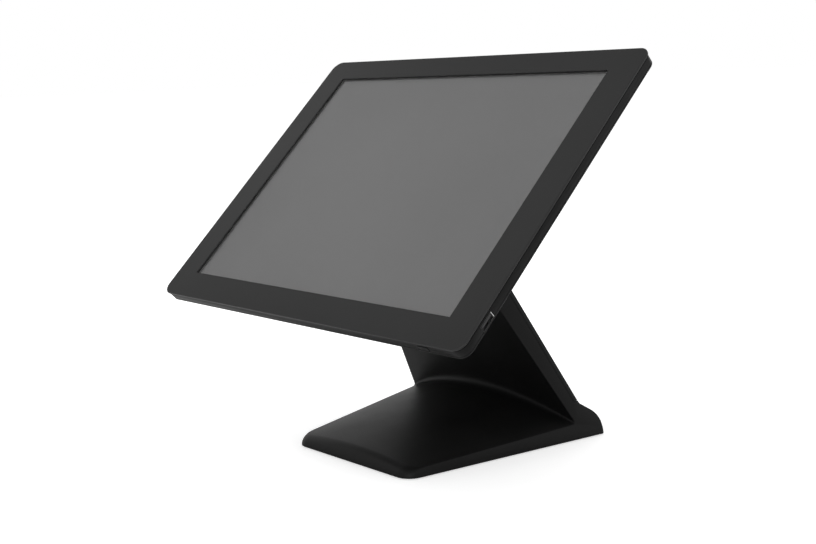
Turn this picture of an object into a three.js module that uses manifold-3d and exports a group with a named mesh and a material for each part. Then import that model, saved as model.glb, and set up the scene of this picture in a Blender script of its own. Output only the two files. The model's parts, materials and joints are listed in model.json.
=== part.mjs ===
// A countertop point-of-sale touchscreen terminal: a 15-inch touch head carried by a leaning neck on a
// crowned base. Millimetres, +Z up, +X to the right of a person facing the screen, -Y towards them.

import * as THREE from 'three';
import { mergeVertices } from 'three/addons/utils/BufferGeometryUtils.js';
import Module from 'manifold-3d';

const wasm = await Module();
wasm.setup();

// ---------------------------------------------------------------------------------------------------
// Driving dimensions
// ---------------------------------------------------------------------------------------------------

const GAP = 0.3; // seat or running gap between two pieces
const DEGREES = Math.PI / 180;

// Screen and glass
const ACTIVE_WIDTH = 304.1;
const ACTIVE_HEIGHT = 228.1;
const SIDE_BORDER = 26.6;
const TOP_BORDER = 22.1;
const BOTTOM_BORDER = 24.3;
const GLASS_THICKNESS = 1.8;
const GLASS_CORNER = 9.5;
const GLASS_CHAMFER = 0.35;

// Layers of the head, measured back from the front of the glass
const TAPE_THICKNESS = 0.4;
const TAPE_WIDTH = 6;
const RIM_INSET = 0.8; // how far the frame and the rear housing stand in from the edge of the glass
const FRAME_FRONT = GLASS_THICKNESS + TAPE_THICKNESS + 2 * GAP;
const FRAME_FLANGE = 2;
const FRAME_WALL = 2.2;
const LCD_FRONT = 2.5;
const LCD_BACK = 9.9;
const FRAME_BACK = LCD_BACK - 0.9;
const LCD_SIDE_MARGIN = 11.2; // from the active area to the side of the metal tray
const LCD_TOP_MARGIN = 12.7;
const LCD_SHEET = 0.4;
const LCD_LIP = 3.5; // how far the tray's front lip covers the cell
const CELL_THICKNESS = 2;
const CHASSIS_SHEET = 1;
const CHASSIS_FRONT = LCD_BACK + GAP;
const CHASSIS_BACK = CHASSIS_FRONT + CHASSIS_SHEET;
const BOARD_STANDOFF = 3.4;
const BOARD_THICKNESS = 1.6;
const BOARD_FRONT = CHASSIS_BACK + BOARD_STANDOFF + GAP;
const BOARD_BACK = BOARD_FRONT + BOARD_THICKNESS;
const HOUSING_WALL = 2.1;

// Outline of the rear housing: how deep it is at each distance in from the edge of the glass
const HOUSING_PROFILE = [
  { depth: FRAME_BACK + GAP, inset: RIM_INSET },
  { depth: FRAME_BACK + 1.6, inset: RIM_INSET },
  { depth: CHASSIS_BACK + 0.6, inset: 2.6 },
  { depth: CHASSIS_BACK + 3.3, inset: 8.5 },
  { depth: CHASSIS_BACK + 7.8, inset: 22 },
  { depth: CHASSIS_BACK + 16.4, inset: 48 },
  { depth: CHASSIS_BACK + 17.4, inset: 52 },
];
const HOUSING_DEPTH = HOUSING_PROFILE[HOUSING_PROFILE.length - 1].depth;

// Fixing screws of the housing, through the chassis into the frame
const HOUSING_SCREW_SIDE = 9.15; // in from the edge of the glass
const HOUSING_SCREW_HEIGHT = 88; // above and below the centre of the screen

// Main board and what it carries
const BOARD_WIDTH = 170;
const BOARD_TOP = 76;
const BOARD_BOTTOM = -62;
const BOARD_HOLE_INSET = 6;

// Connector bay in the back of the head, open downwards, with its cover
const BAY_HALF_WIDTH = 80;
const BAY_TOP = -64;
const BAY_FLOOR = CHASSIS_BACK + 2.8;
const BAY_WALL = 2;
const BAY_COVER_BOTTOM = -118;
const CABLE_NOTCH_WIDTH = 50;
const CABLE_NOTCH_TOP = -100;

// Ports in the right-hand side and power button under the right-hand corner
const SIDE_PORT_HEIGHT = -108.5;
const SIDE_PORT_MIDDLE = LCD_BACK - 2.7; // behind the front of the glass
const USB_WIDTH = 13.1;
const USB_THICKNESS = 5.1;
const USB_SHELL = 0.5;
const USB_LENGTH = 14;
const BUTTON_X = 140;
const BUTTON_MIDDLE = SIDE_PORT_MIDDLE - 1; // behind the front of the glass
const BUTTON_WIDTH = 9;
const BUTTON_THICKNESS = 3.6;
const BUTTON_STAND_OUT = 0.4;
const BUTTON_TRAVEL = 0.9;

// Stand: both sides of base and neck lie in one plane that spreads backwards and leans in upwards
const FRONT_HALF_WIDTH = 68.1;
const SIDE_SPREAD = 0.1884; // sideways per millimetre of depth
const SIDE_LEAN = 0.1394; // sideways per millimetre of height
const BASE_LENGTH = 189;
const BASE_BOTTOM = 0.8;
const BASE_FRONT_CORNER = 14;
const BASE_REAR_CORNER = 4;
const EDGE_HEIGHT_FRONT = 7.2;
const EDGE_HEIGHT_NECK = 12.6;
const CROWN_FRONT = 4;
const CROWN_NECK = 22.6;
const LIP_LENGTH = 9;
const LIP_HEIGHT = 1.6;
const STAND_WALL = 2.5;
const NECK_FRONT_SETBACK = 21.5; // from the back of the base to where the neck's front plane meets the table
const NECK_FRONT_LEAN = 30.45 * DEGREES;
const NECK_REAR_SETBACK = 8.4; // the same for its rear plane
const NECK_REAR_LEAN = 27.6 * DEGREES;
const HEEL_TOP = 29.5;
const HEEL_SHOULDER_DROP = 11; // how far the heel falls from the neck to its shoulder
const HEEL_SHOULDER_SETBACK = 7; // shoulder in front of the back of the base
const HEEL_ROUND = 8;
const REAR_COVER_DEPTH = 3.6;
const REAR_COVER_FOOT = 32;
const CABLE_OUTLET_WIDTH = 36;
const CABLE_OUTLET_HEIGHT = 9;

// Hinge between neck and head
const HINGE_HEIGHT = 180;
const HEAD_TILT = 47.2 * DEGREES; // back from upright
const AXIS_BEHIND_HOUSING = 14.8;
const AXIS_BEHIND_GLASS = HOUSING_DEPTH + AXIS_BEHIND_HOUSING;
const AXIS_BELOW_CENTRE = 9.4;
const CHEEK_WIDTH = 16; // each side of the neck beside the head's barrel
const SHAFT_RADIUS = 4;
const WASHER_THICKNESS = 2.4;
const EAR_THICKNESS = 3;
const EAR_RADIUS = 6.8;
const NUT_THICKNESS = 4.7;
const NUT_RADIUS = 6.4;
const HEAD_PLATE_THICKNESS = 2.5;
const HEAD_PLATE_SIZE = 96;
const FIXING_PITCH = 75; // square pattern of the four screws that hold the head
const SPINE_THICKNESS = 3;

// Bottom plate, ballast and feet
const FOOT_THICKNESS = 1.1;
const FOOT_RADIUS = 8;
const PLATE_THICKNESS = 2.5;
const PLATE_INSET = 5;
const BALLAST_HEIGHT = 9;
const SCREW_DEPTH = 7; // how far the bottom screws reach up
const SCREW_RECESS = 1.6; // their heads lie this deep in the plate

// ---------------------------------------------------------------------------------------------------
// Sizes worked out from the driving dimensions
// ---------------------------------------------------------------------------------------------------

const GLASS_HALF_WIDTH = ACTIVE_WIDTH / 2 + SIDE_BORDER;
const GLASS_TOP = ACTIVE_HEIGHT / 2 + TOP_BORDER;
const GLASS_BOTTOM = -ACTIVE_HEIGHT / 2 - BOTTOM_BORDER;
const GLASS_MIDDLE = (GLASS_TOP + GLASS_BOTTOM) / 2;
const GLASS_HALF_HEIGHT = (GLASS_TOP - GLASS_BOTTOM) / 2;
const LCD_HALF_WIDTH = ACTIVE_WIDTH / 2 + LCD_SIDE_MARGIN;
const LCD_HALF_HEIGHT = ACTIVE_HEIGHT / 2 + LCD_TOP_MARGIN;
const CELL_FRONT = LCD_FRONT + LCD_SHEET + 0.25;
const FIXING_MIDDLE = -AXIS_BELOW_CENTRE;
const HOUSING_SCREW_X = GLASS_HALF_WIDTH - HOUSING_SCREW_SIDE;
const SIDE_SCALE = Math.hypot(1, SIDE_SPREAD, SIDE_LEAN);
const PLATE_BOTTOM = FOOT_THICKNESS + 0.2;
const PLATE_TOP = PLATE_BOTTOM + PLATE_THICKNESS;
const PLATE_SCREW_SEAT = PLATE_BOTTOM + SCREW_RECESS;

const NECK_FRONT_FOOT = BASE_LENGTH - NECK_FRONT_SETBACK;
const NECK_REAR_FOOT = BASE_LENGTH - NECK_REAR_SETBACK;
const neckFrontAt = (z) => NECK_FRONT_FOOT - z * Math.tan(NECK_FRONT_LEAN);
const neckRearAt = (z) => NECK_REAR_FOOT - z * Math.tan(NECK_REAR_LEAN);
const halfWidthAt = (y, z) => FRONT_HALF_WIDTH + SIDE_SPREAD * y - SIDE_LEAN * z;

// The point at one height that lies equally far from the front and the rear face of the neck
function neckMiddleAt(z) {
  const front = Math.cos(NECK_FRONT_LEAN);
  const rear = Math.cos(NECK_REAR_LEAN);
  return (neckFrontAt(z) * front + neckRearAt(z) * rear) / (front + rear);
}

const HINGE_Y = neckMiddleAt(HINGE_HEIGHT);
const KNUCKLE_RADIUS = (HINGE_Y - neckFrontAt(HINGE_HEIGHT)) * Math.cos(NECK_FRONT_LEAN);
const NECK_LEAN = (NECK_FRONT_LEAN + NECK_REAR_LEAN) / 2;
const KNUCKLE_HALF_LENGTH = halfWidthAt(HINGE_Y, HINGE_HEIGHT) - CHEEK_WIDTH;

// ---------------------------------------------------------------------------------------------------
// Solids
// ---------------------------------------------------------------------------------------------------

// Turns a closed three.js geometry into a solid that can be joined and cut
function solidOf(geometry) {
  geometry.deleteAttribute('normal');
  geometry.deleteAttribute('uv');
  const merged = mergeVertices(geometry, 1e-4);
  const positions = merged.getAttribute('position').array;
  const corners = merged.getIndex().array;
  const triangles = [];
  let volume = 0;
  const point = [new THREE.Vector3(), new THREE.Vector3(), new THREE.Vector3()];
  for (let i = 0; i < corners.length; i += 3) {
    const [a, b, c] = [corners[i], corners[i + 1], corners[i + 2]];
    if (a === b || b === c || c === a) continue;
    triangles.push([a, b, c]);
    point[0].fromArray(positions, 3 * a);
    point[1].fromArray(positions, 3 * b);
    point[2].fromArray(positions, 3 * c);
    volume += point[0].dot(point[1].cross(point[2]));
  }
  const facingOut = volume < 0 ? triangles.map(([a, b, c]) => [a, c, b]) : triangles;
  const mesh = new wasm.Mesh({
    numProp: 3,
    vertProperties: new Float32Array(positions),
    triVerts: new Uint32Array(facingOut.flat()),
  });
  return new wasm.Manifold(mesh);
}

// A box between its lowest and its highest corner
function block(low, high) {
  const geometry = new THREE.BoxGeometry(high[0] - low[0], high[1] - low[1], high[2] - low[2]);
  geometry.translate((low[0] + high[0]) / 2, (low[1] + high[1]) / 2, (low[2] + high[2]) / 2);
  return solidOf(geometry);
}

// Outlines are drawn flat and given a thickness across x, y or z
const extrude = (outline, thickness, curveSegments) =>
  new THREE.ExtrudeGeometry(outline, { depth: thickness, bevelEnabled: false, curveSegments });

function acrossX(outline, from, to, curveSegments = 8) {
  const geometry = extrude(outline, to - from, curveSegments);
  const turn = new THREE.Matrix4().makeBasis(
    new THREE.Vector3(0, 1, 0), new THREE.Vector3(0, 0, 1), new THREE.Vector3(1, 0, 0));
  geometry.applyMatrix4(turn);
  geometry.translate(from, 0, 0);
  return solidOf(geometry);
}

function acrossY(outline, from, to, curveSegments = 4) {
  const geometry = extrude(outline, to - from, curveSegments);
  geometry.rotateX(Math.PI / 2);
  geometry.translate(0, to, 0);
  return solidOf(geometry);
}

function acrossZ(outline, from, to, curveSegments = 6) {
  const geometry = extrude(outline, to - from, curveSegments);
  geometry.translate(0, 0, from);
  return solidOf(geometry);
}

function polygon(points) {
  return new THREE.Shape(points.map(([x, y]) => new THREE.Vector2(x, y)));
}

function roundedRectangle(left, right, bottom, top, radius) {
  const outline = new THREE.Shape();
  outline.absarc(right - radius, bottom + radius, radius, -Math.PI / 2, 0, false);
  outline.absarc(right - radius, top - radius, radius, 0, Math.PI / 2, false);
  outline.absarc(left + radius, top - radius, radius, Math.PI / 2, Math.PI, false);
  outline.absarc(left + radius, bottom + radius, radius, Math.PI, 1.5 * Math.PI, false);
  outline.closePath();
  return outline;
}

// A round piece turned about an axis through `at`; the profile is a list of [radius, distance along]
function turned(axis, at, profile, sides = 16) {
  const points = profile.map(([radius, along]) => new THREE.Vector2(radius, along));
  const geometry = new THREE.LatheGeometry(points, sides);
  if (axis === 'x') geometry.rotateZ(-Math.PI / 2);
  if (axis === 'z') geometry.rotateX(Math.PI / 2);
  geometry.translate(...at);
  return solidOf(geometry);
}

function rod(axis, at, radius, from, to, sides = 16) {
  return turned(axis, at, [[0, from], [radius, from], [radius, to], [0, to]], sides);
}

// A screw whose head sits at `at`, with its shank pointing the way `along` says (+1 or -1)
function screw(axis, at, along, head, shank, length) {
  const height = head * 0.55;
  const profile = [
    [0, -height * 0.4],
    [head * 0.45, -height * 0.4],
    [head * 0.45, -height],
    [head * 0.85, -height],
    [head, -height * 0.6],
    [head, 0],
    [shank, 0],
    [shank, length],
    [0, length],
  ];
  return turned(axis, at, profile.map(([r, d]) => [r, d * along]), 12);
}

const joined = (solids) => solids.reduce((sum, solid) => sum.add(solid));
const cutBy = (solid, tools) => tools.reduce((rest, tool) => rest.subtract(tool), solid);

// ---------------------------------------------------------------------------------------------------
// Named pieces
// ---------------------------------------------------------------------------------------------------

const PLASTIC = [0x17181a, 0.62, 0];
const FRAME_PLASTIC = [0x121314, 0.5, 0];
const GLASS = [0x3a3a3a, 0.2, 0];
const SCREEN = [0x747474, 0.35, 0];
const DIFFUSER = [0xe8e8e4, 0.5, 0];
const STEEL = [0x9a9da1, 0.35, 1];
const BLACK_STEEL = [0x202124, 0.5, 0.6];
const ALUMINIUM = [0xb9bcc0, 0.4, 1];
const TIN_PLATE = [0xc2c4c6, 0.3, 1];
const CIRCUIT_BOARD = [0x1d4a2c, 0.55, 0];
const CHIP = [0x1b1b1d, 0.6, 0];
const RUBBER = [0x18181a, 0.9, 0];
const TAPE = [0x0c0c0d, 0.8, 0];

function addPart(group, name, solid, [colour, roughness, metalness]) {
  const { vertProperties, triVerts } = solid.getMesh();
  const geometry = new THREE.BufferGeometry();
  geometry.setAttribute('position', new THREE.BufferAttribute(vertProperties, 3));
  geometry.setIndex(new THREE.BufferAttribute(triVerts, 1));
  geometry.computeVertexNormals();
  const material = new THREE.MeshStandardMaterial({ color: colour, roughness, metalness });
  const mesh = new THREE.Mesh(geometry, material);
  mesh.name = name;
  group.add(mesh);
}

// ---------------------------------------------------------------------------------------------------
// Head: x to the right, y back from the front of the glass, z up the screen from its centre
// ---------------------------------------------------------------------------------------------------

function headOutline(inset) {
  const radius = Math.max(GLASS_CORNER - inset, 1);
  return roundedRectangle(-GLASS_HALF_WIDTH + inset, GLASS_HALF_WIDTH - inset,
    GLASS_BOTTOM + inset, GLASS_TOP - inset, radius);
}

const lcdOutline = (grow) => roundedRectangle(-LCD_HALF_WIDTH - grow, LCD_HALF_WIDTH + grow,
  -LCD_HALF_HEIGHT - grow, LCD_HALF_HEIGHT + grow, 1.5);

function makeCoverGlass() {
  const geometry = new THREE.ExtrudeGeometry(headOutline(GLASS_CHAMFER), {
    depth: GLASS_THICKNESS - 2 * GLASS_CHAMFER,
    bevelThickness: GLASS_CHAMFER,
    bevelSize: GLASS_CHAMFER,
    bevelSegments: 1,
    curveSegments: 6,
  });
  geometry.rotateX(Math.PI / 2);
  geometry.translate(0, GLASS_THICKNESS - GLASS_CHAMFER, 0);
  return solidOf(geometry);
}

function makeGlassTape() {
  const front = GLASS_THICKNESS + GAP;
  const outer = acrossY(headOutline(RIM_INSET + 1.6), front, front + TAPE_THICKNESS);
  const inner = acrossY(headOutline(RIM_INSET + 1.6 + TAPE_WIDTH), front - 1, front + 2);
  return outer.subtract(inner);
}

// The side port crosses the seam between frame and rear housing, so both are notched for it
function makeSidePortNotch() {
  const halfWidth = USB_WIDTH / 2 + GAP;
  const front = SIDE_PORT_MIDDLE - USB_THICKNESS / 2 - 0.2;
  const back = SIDE_PORT_MIDDLE + USB_THICKNESS / 2 + 0.2;
  return block([GLASS_HALF_WIDTH - RIM_INSET - USB_LENGTH - 1, front, SIDE_PORT_HEIGHT - halfWidth],
    [GLASS_HALF_WIDTH + 4, back, SIDE_PORT_HEIGHT + halfWidth]);
}

function makeFrontFrame() {
  const ring = acrossY(headOutline(RIM_INSET), FRAME_FRONT, FRAME_BACK, 6);
  const hollow = acrossY(headOutline(RIM_INSET + FRAME_WALL), FRAME_FRONT + FRAME_FLANGE, FRAME_BACK + 1, 6);
  const lcdWindow = acrossY(lcdOutline(0.4), FRAME_FRONT - 1, FRAME_BACK + 1, 1);
  const buttonHole = block(
    [BUTTON_X - BUTTON_WIDTH / 2 - GAP, BUTTON_MIDDLE - BUTTON_THICKNESS / 2 - GAP, GLASS_BOTTOM - 1],
    [BUTTON_X + BUTTON_WIDTH / 2 + GAP, BUTTON_MIDDLE + BUTTON_THICKNESS / 2 + GAP, GLASS_BOTTOM + 5]);
  const switchRoom = block([BUTTON_X - 15, FRAME_FRONT + 0.5, GLASS_BOTTOM + RIM_INSET + FRAME_WALL],
    [BUTTON_X + 15, FRAME_BACK + 1, -LCD_HALF_HEIGHT]);
  let frame = cutBy(ring, [hollow, lcdWindow, buttonHole, switchRoom, makeSidePortNotch()]);
  for (const side of [-1, 1]) {
    for (const level of [-1, 1]) {
      const at = [side * HOUSING_SCREW_X, 0, level * HOUSING_SCREW_HEIGHT];
      frame = frame.add(rod('y', at, 4, FRAME_FRONT + 0.5, LCD_BACK));
      frame = frame.subtract(rod('y', at, 1.3, FRAME_FRONT + FRAME_FLANGE, LCD_BACK + 1, 10));
    }
  }
  return frame;
}

function makeLcdTray() {
  const window = [ACTIVE_WIDTH / 2 + 0.6, ACTIVE_HEIGHT / 2 + 0.6];
  const pocket = [window[0] + LCD_LIP, window[1] + LCD_LIP];
  const body = acrossY(lcdOutline(0), LCD_FRONT, LCD_BACK, 1);
  const opening = block([-window[0], LCD_FRONT - 1, -window[1]], [window[0], LCD_FRONT + 2, window[1]]);
  const room = block([-pocket[0], LCD_FRONT + LCD_SHEET, -pocket[1]], [pocket[0], LCD_BACK - 0.8, pocket[1]]);
  return cutBy(body, [opening, room]);
}

function makeLcdLayer(front, back) {
  const halfWidth = ACTIVE_WIDTH / 2 + LCD_LIP + 0.3;
  const halfHeight = ACTIVE_HEIGHT / 2 + LCD_LIP + 0.3;
  return block([-halfWidth, front, -halfHeight], [halfWidth, back, halfHeight]);
}

const fixingPoints = [-1, 1].flatMap((side) =>
  [-1, 1].map((level) => [side * FIXING_PITCH / 2, FIXING_MIDDLE + level * FIXING_PITCH / 2]));

const boardPoints = [-1, 1].flatMap((side) => [
  [side * (BOARD_WIDTH / 2 - BOARD_HOLE_INSET), BOARD_BOTTOM + BOARD_HOLE_INSET + 8],
  [side * (BOARD_WIDTH / 2 - BOARD_HOLE_INSET), BOARD_TOP - BOARD_HOLE_INSET],
]);

const CHASSIS_BOTTOM = -HOUSING_SCREW_HEIGHT - 6;
const CHASSIS_TOP = HOUSING_SCREW_HEIGHT + 18;

function makeChassis() {
  const halfWidth = HOUSING_SCREW_X + 2.6;
  let chassis = acrossY(roundedRectangle(-halfWidth, halfWidth, CHASSIS_BOTTOM, CHASSIS_TOP, 3),
    CHASSIS_FRONT, CHASSIS_BACK, 2);
  for (const side of [-1, 1]) {
    for (const level of [-1, 1]) {
      const at = [side * HOUSING_SCREW_X, 0, level * HOUSING_SCREW_HEIGHT];
      chassis = chassis.subtract(rod('y', at, 1.9, CHASSIS_FRONT - 1, CHASSIS_BACK + 1, 10));
    }
  }
  for (const [x, z] of fixingPoints) {
    const post = rod('y', [x, 0, z], 4.5, CHASSIS_BACK - 0.5, HOUSING_DEPTH - HOUSING_WALL - GAP, 12);
    const thread = rod('y', [x, 0, z], 2, CHASSIS_BACK + 2, HOUSING_DEPTH, 10);
    chassis = chassis.add(post).subtract(thread);
  }
  for (const [x, z] of boardPoints) {
    const stud = rod('y', [x, 0, z], 2.8, CHASSIS_BACK - 0.5, BOARD_FRONT - GAP, 10);
    const thread = rod('y', [x, 0, z], 1.3, CHASSIS_BACK + 0.4, BOARD_FRONT, 8);
    chassis = chassis.add(stud).subtract(thread);
  }
  return chassis;
}

// Rear connectors from left to right. The tall ones stand in notches of the board.
const PORT_SEAT = BOARD_BACK + GAP;
const usbStack = { front: PORT_SEAT, back: PORT_SEAT + 5.7, length: USB_LENGTH };
const REAR_PORTS = [
  { name: 'dc_inlet', x: -72, width: 9.5, front: BOARD_FRONT + 0.2, back: BOARD_BACK + 9.2, length: 14 },
  { name: 'lan_port', x: -53, width: 16, front: CHASSIS_BACK + 1.4, back: BOARD_BACK + 9.6, length: 19 },
  { name: 'usb_port_left', x: -19, width: USB_WIDTH, ...usbStack },
  { name: 'usb_port_right', x: 0, width: USB_WIDTH, ...usbStack },
  { name: 'video_port', x: 21, width: 15, front: PORT_SEAT, back: PORT_SEAT + 5.6, length: 12 },
  { name: 'drawer_port', x: 50, width: 12.6, front: CHASSIS_BACK + 2, back: BOARD_BACK + 8.4, length: 17 },
];
const PORT_FACE = BAY_TOP + 0.4; // ports end just inside the bay's upper wall

const standsInNotch = (port) => port.front < BOARD_BACK;

function makeMainboard() {
  const half = BOARD_WIDTH / 2;
  const outline = roundedRectangle(-half, half, BOARD_BOTTOM + 2 + GAP, BOARD_TOP, 2);
  let board = acrossY(outline, BOARD_FRONT, BOARD_BACK, 2);
  for (const [x, z] of fixingPoints) {
    board = board.subtract(rod('y', [x, 0, z], 4.5 + 1, BOARD_FRONT - 1, BOARD_BACK + 1, 12));
  }
  for (const [x, z] of boardPoints) {
    board = board.subtract(rod('y', [x, 0, z], 1.7, BOARD_FRONT - 1, BOARD_BACK + 1, 8));
  }
  for (const port of REAR_PORTS.filter(standsInNotch)) {
    const reach = port.width / 2 + GAP;
    board = board.subtract(block([port.x - reach, BOARD_FRONT - 1, BOARD_BOTTOM - 5],
      [port.x + reach, BOARD_BACK + 1, PORT_FACE + port.length + GAP]));
  }
  return board;
}

// A socket facing down the head: a shell with a cavity and, where the plug has one, a tongue
function makeRearPort(port) {
  const wall = port.name.startsWith('usb') || port.name === 'video_port' ? USB_SHELL : 1.6;
  const low = [port.x - port.width / 2, port.front, PORT_FACE];
  const high = [port.x + port.width / 2, port.back, PORT_FACE + port.length];
  const shell = block(low, high);
  if (port.name === 'dc_inlet') {
    const middle = [port.x, (port.front + port.back) / 2 + 0.5, 0];
    const bore = rod('z', middle, 3.1, PORT_FACE - 1, PORT_FACE + 9.5);
    const pin = rod('z', middle, 1, PORT_FACE + 0.6, PORT_FACE + 10, 10);
    return shell.subtract(bore).add(pin);
  }
  const cavity = block([low[0] + wall, low[1] + wall, low[2] - 1],
    [high[0] - wall, high[1] - wall, high[2] - 3]);
  const middle = (low[1] + high[1]) / 2;
  const hollow = shell.subtract(cavity);
  if (!port.name.startsWith('usb')) return hollow;
  const tongue = block([low[0] + 1.1, middle + 0.1, low[2] + 0.6],
    [high[0] - 1.1, middle + 1.7, high[2] - 2]);
  return hollow.add(tongue);
}

function makeSidePort() {
  const outer = GLASS_HALF_WIDTH - RIM_INSET - 0.1;
  const low = [outer - USB_LENGTH, SIDE_PORT_MIDDLE - USB_THICKNESS / 2, SIDE_PORT_HEIGHT - USB_WIDTH / 2];
  const high = [outer, SIDE_PORT_MIDDLE + USB_THICKNESS / 2, SIDE_PORT_HEIGHT + USB_WIDTH / 2];
  const cavity = block([low[0] + 3, low[1] + USB_SHELL, low[2] + USB_SHELL],
    [high[0] + 1, high[1] - USB_SHELL, high[2] - USB_SHELL]);
  const tongue = block([low[0] + 2, SIDE_PORT_MIDDLE - 1.3, low[2] + 1.1],
    [high[0] - 0.6, SIDE_PORT_MIDDLE + 0.3, high[2] - 1.1]);
  return block(low, high).subtract(cavity).add(tongue);
}

// The rear housing's outer and inner skins: one outline pushed back in steps and drawn in at each step
function makeTaper(profile) {
  const outline = roundedRectangle(-GLASS_HALF_WIDTH, GLASS_HALF_WIDTH,
    -GLASS_HALF_HEIGHT, GLASS_HALF_HEIGHT, GLASS_CORNER);
  const steps = profile.length - 1;
  const geometry = new THREE.ExtrudeGeometry(outline,
    { depth: steps, steps, bevelEnabled: false, curveSegments: 5 });
  const position = geometry.getAttribute('position');
  for (let i = 0; i < position.count; i += 1) {
    const { depth, inset } = profile[Math.round(position.getZ(i))];
    const x = position.getX(i) * (1 - inset / GLASS_HALF_WIDTH);
    const z = position.getY(i) * (1 - inset / GLASS_HALF_HEIGHT);
    position.setXYZ(i, x, depth, z + GLASS_MIDDLE);
  }
  return solidOf(geometry);
}

const housingSkin = makeTaper(HOUSING_PROFILE);
const housingRoom = makeTaper([
  { depth: HOUSING_PROFILE[0].depth - 1, inset: RIM_INSET + FRAME_WALL },
  { depth: HOUSING_PROFILE[2].depth - HOUSING_WALL, inset: RIM_INSET + FRAME_WALL },
  ...HOUSING_PROFILE.slice(3).map(({ depth, inset }) => ({ depth: depth - HOUSING_WALL, inset })),
]);

function makeVents() {
  const vents = [];
  const slot = { width: 2.6, bottom: 46, top: 72, pitch: 8, count: 15 };
  for (let i = 0; i < slot.count; i += 1) {
    const x = (i - (slot.count - 1) / 2) * slot.pitch;
    vents.push(block([x - slot.width / 2, HOUSING_DEPTH - 6, slot.bottom],
      [x + slot.width / 2, HOUSING_DEPTH + 2, slot.top]));
  }
  const grille = { width: 1.8, height: 16, pitch: 4.4, count: 6 };
  for (const side of [-1, 1]) {
    for (let i = 0; i < grille.count; i += 1) {
      const x = side * SPEAKER_X + (i - (grille.count - 1) / 2) * grille.pitch;
      vents.push(block([x - grille.width / 2, SPEAKER_BACK + 0.6, SPEAKER_Z - grille.height / 2],
        [x + grille.width / 2, HOUSING_DEPTH + 2, SPEAKER_Z + grille.height / 2]));
    }
  }
  return vents;
}

// Speakers sit on the chassis near its lower corners
const SPEAKER_X = GLASS_HALF_WIDTH - 52;
const SPEAKER_Z = -72;
const SPEAKER_BACK = CHASSIS_BACK + GAP + 8;

function makeRearHousing() {
  const bayOutside = block([-BAY_HALF_WIDTH - BAY_WALL, BAY_FLOOR - BAY_WALL, GLASS_BOTTOM + 4],
    [BAY_HALF_WIDTH + BAY_WALL, HOUSING_DEPTH + 5, BAY_TOP + BAY_WALL]);
  const bayInside = block([-BAY_HALF_WIDTH, BAY_FLOOR, GLASS_BOTTOM - 5],
    [BAY_HALF_WIDTH, HOUSING_DEPTH + 5, BAY_TOP]);
  let housing = housingSkin.subtract(housingRoom);
  for (const side of [-1, 1]) {
    for (const level of [-1, 1]) {
      const at = [side * HOUSING_SCREW_X, 0, level * HOUSING_SCREW_HEIGHT];
      const boss = rod('y', at, 3.8, CHASSIS_BACK + GAP, HOUSING_DEPTH, 12).intersect(housingSkin);
      housing = housing.add(boss);
    }
  }
  housing = housing.add(bayOutside.intersect(housingSkin)).subtract(bayInside);
  const portHoles = REAR_PORTS.map((port) => block(
    [port.x - port.width / 2 - GAP, port.front - GAP, BAY_TOP - 1],
    [port.x + port.width / 2 + GAP, port.back + GAP, BAY_TOP + BAY_WALL + 1]));
  const screwHoles = fixingPoints.map(([x, z]) =>
    rod('y', [x, 0, z], 2.3, HOUSING_DEPTH - 5, HOUSING_DEPTH + 2, 12));
  for (const side of [-1, 1]) {
    for (const level of [-1, 1]) {
      const at = [side * HOUSING_SCREW_X, 0, level * HOUSING_SCREW_HEIGHT];
      screwHoles.push(rod('y', at, 1.9, CHASSIS_BACK, HOUSING_DEPTH, 10));
      screwHoles.push(rod('y', at, 3, HOUSING_SCREW_SEAT, HOUSING_DEPTH, 12));
    }
  }
  return cutBy(housing, [...portHoles, ...screwHoles, ...makeVents(), makeSidePortNotch()]);
}

// Depth at which the heads of the housing screws sit
const HOUSING_SCREW_SEAT = CHASSIS_BACK + GAP + 1.4;

function makeBayCover() {
  const skin = housingSkin.subtract(makeTaper([
    { depth: HOUSING_PROFILE[0].depth - 1, inset: RIM_INSET + FRAME_WALL },
    ...HOUSING_PROFILE.slice(3).map(({ depth, inset }) => ({ depth: depth - BAY_WALL, inset })),
  ]));
  const window = block([-BAY_HALF_WIDTH + GAP, BAY_FLOOR + GAP, BAY_COVER_BOTTOM],
    [BAY_HALF_WIDTH - GAP, HOUSING_DEPTH + 5, BAY_TOP - GAP]);
  const notch = roundedRectangle(-CABLE_NOTCH_WIDTH / 2, CABLE_NOTCH_WIDTH / 2,
    BAY_COVER_BOTTOM - 20, CABLE_NOTCH_TOP, 6);
  return skin.intersect(window).subtract(acrossY(notch, 0, HOUSING_DEPTH + 5, 4));
}

function makePowerButton() {
  const wallOutside = GLASS_BOTTOM + RIM_INSET;
  const flangeBottom = wallOutside + FRAME_WALL + GAP;
  const halfWidth = BUTTON_WIDTH / 2;
  const halfThickness = BUTTON_THICKNESS / 2;
  const cap = block([BUTTON_X - halfWidth, BUTTON_MIDDLE - halfThickness, wallOutside - BUTTON_STAND_OUT],
    [BUTTON_X + halfWidth, BUTTON_MIDDLE + halfThickness, flangeBottom]);
  const flange = block([BUTTON_X - halfWidth - 1.4, BUTTON_MIDDLE - halfThickness - 0.9, flangeBottom],
    [BUTTON_X + halfWidth + 1.4, BUTTON_MIDDLE + halfThickness + 0.9, flangeBottom + 0.9]);
  const stem = rod('z', [BUTTON_X, BUTTON_MIDDLE, 0], 1.1, flangeBottom + 0.5, flangeBottom + 1.6, 10);
  return joined([cap, flange, stem]);
}

const BUTTON_STEM_TOP = GLASS_BOTTOM + RIM_INSET + FRAME_WALL + GAP + 1.6;

function makePowerSwitch() {
  const low = BUTTON_STEM_TOP + BUTTON_TRAVEL + 0.2;
  return block([BUTTON_X - 3, BUTTON_MIDDLE - 1.75, low],
    [BUTTON_X + 3, BUTTON_MIDDLE + 1.75, SWITCH_BOARD_BOTTOM - 0.2]);
}

const SWITCH_BOARD_BOTTOM = -LCD_HALF_HEIGHT - 1.35;

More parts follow.
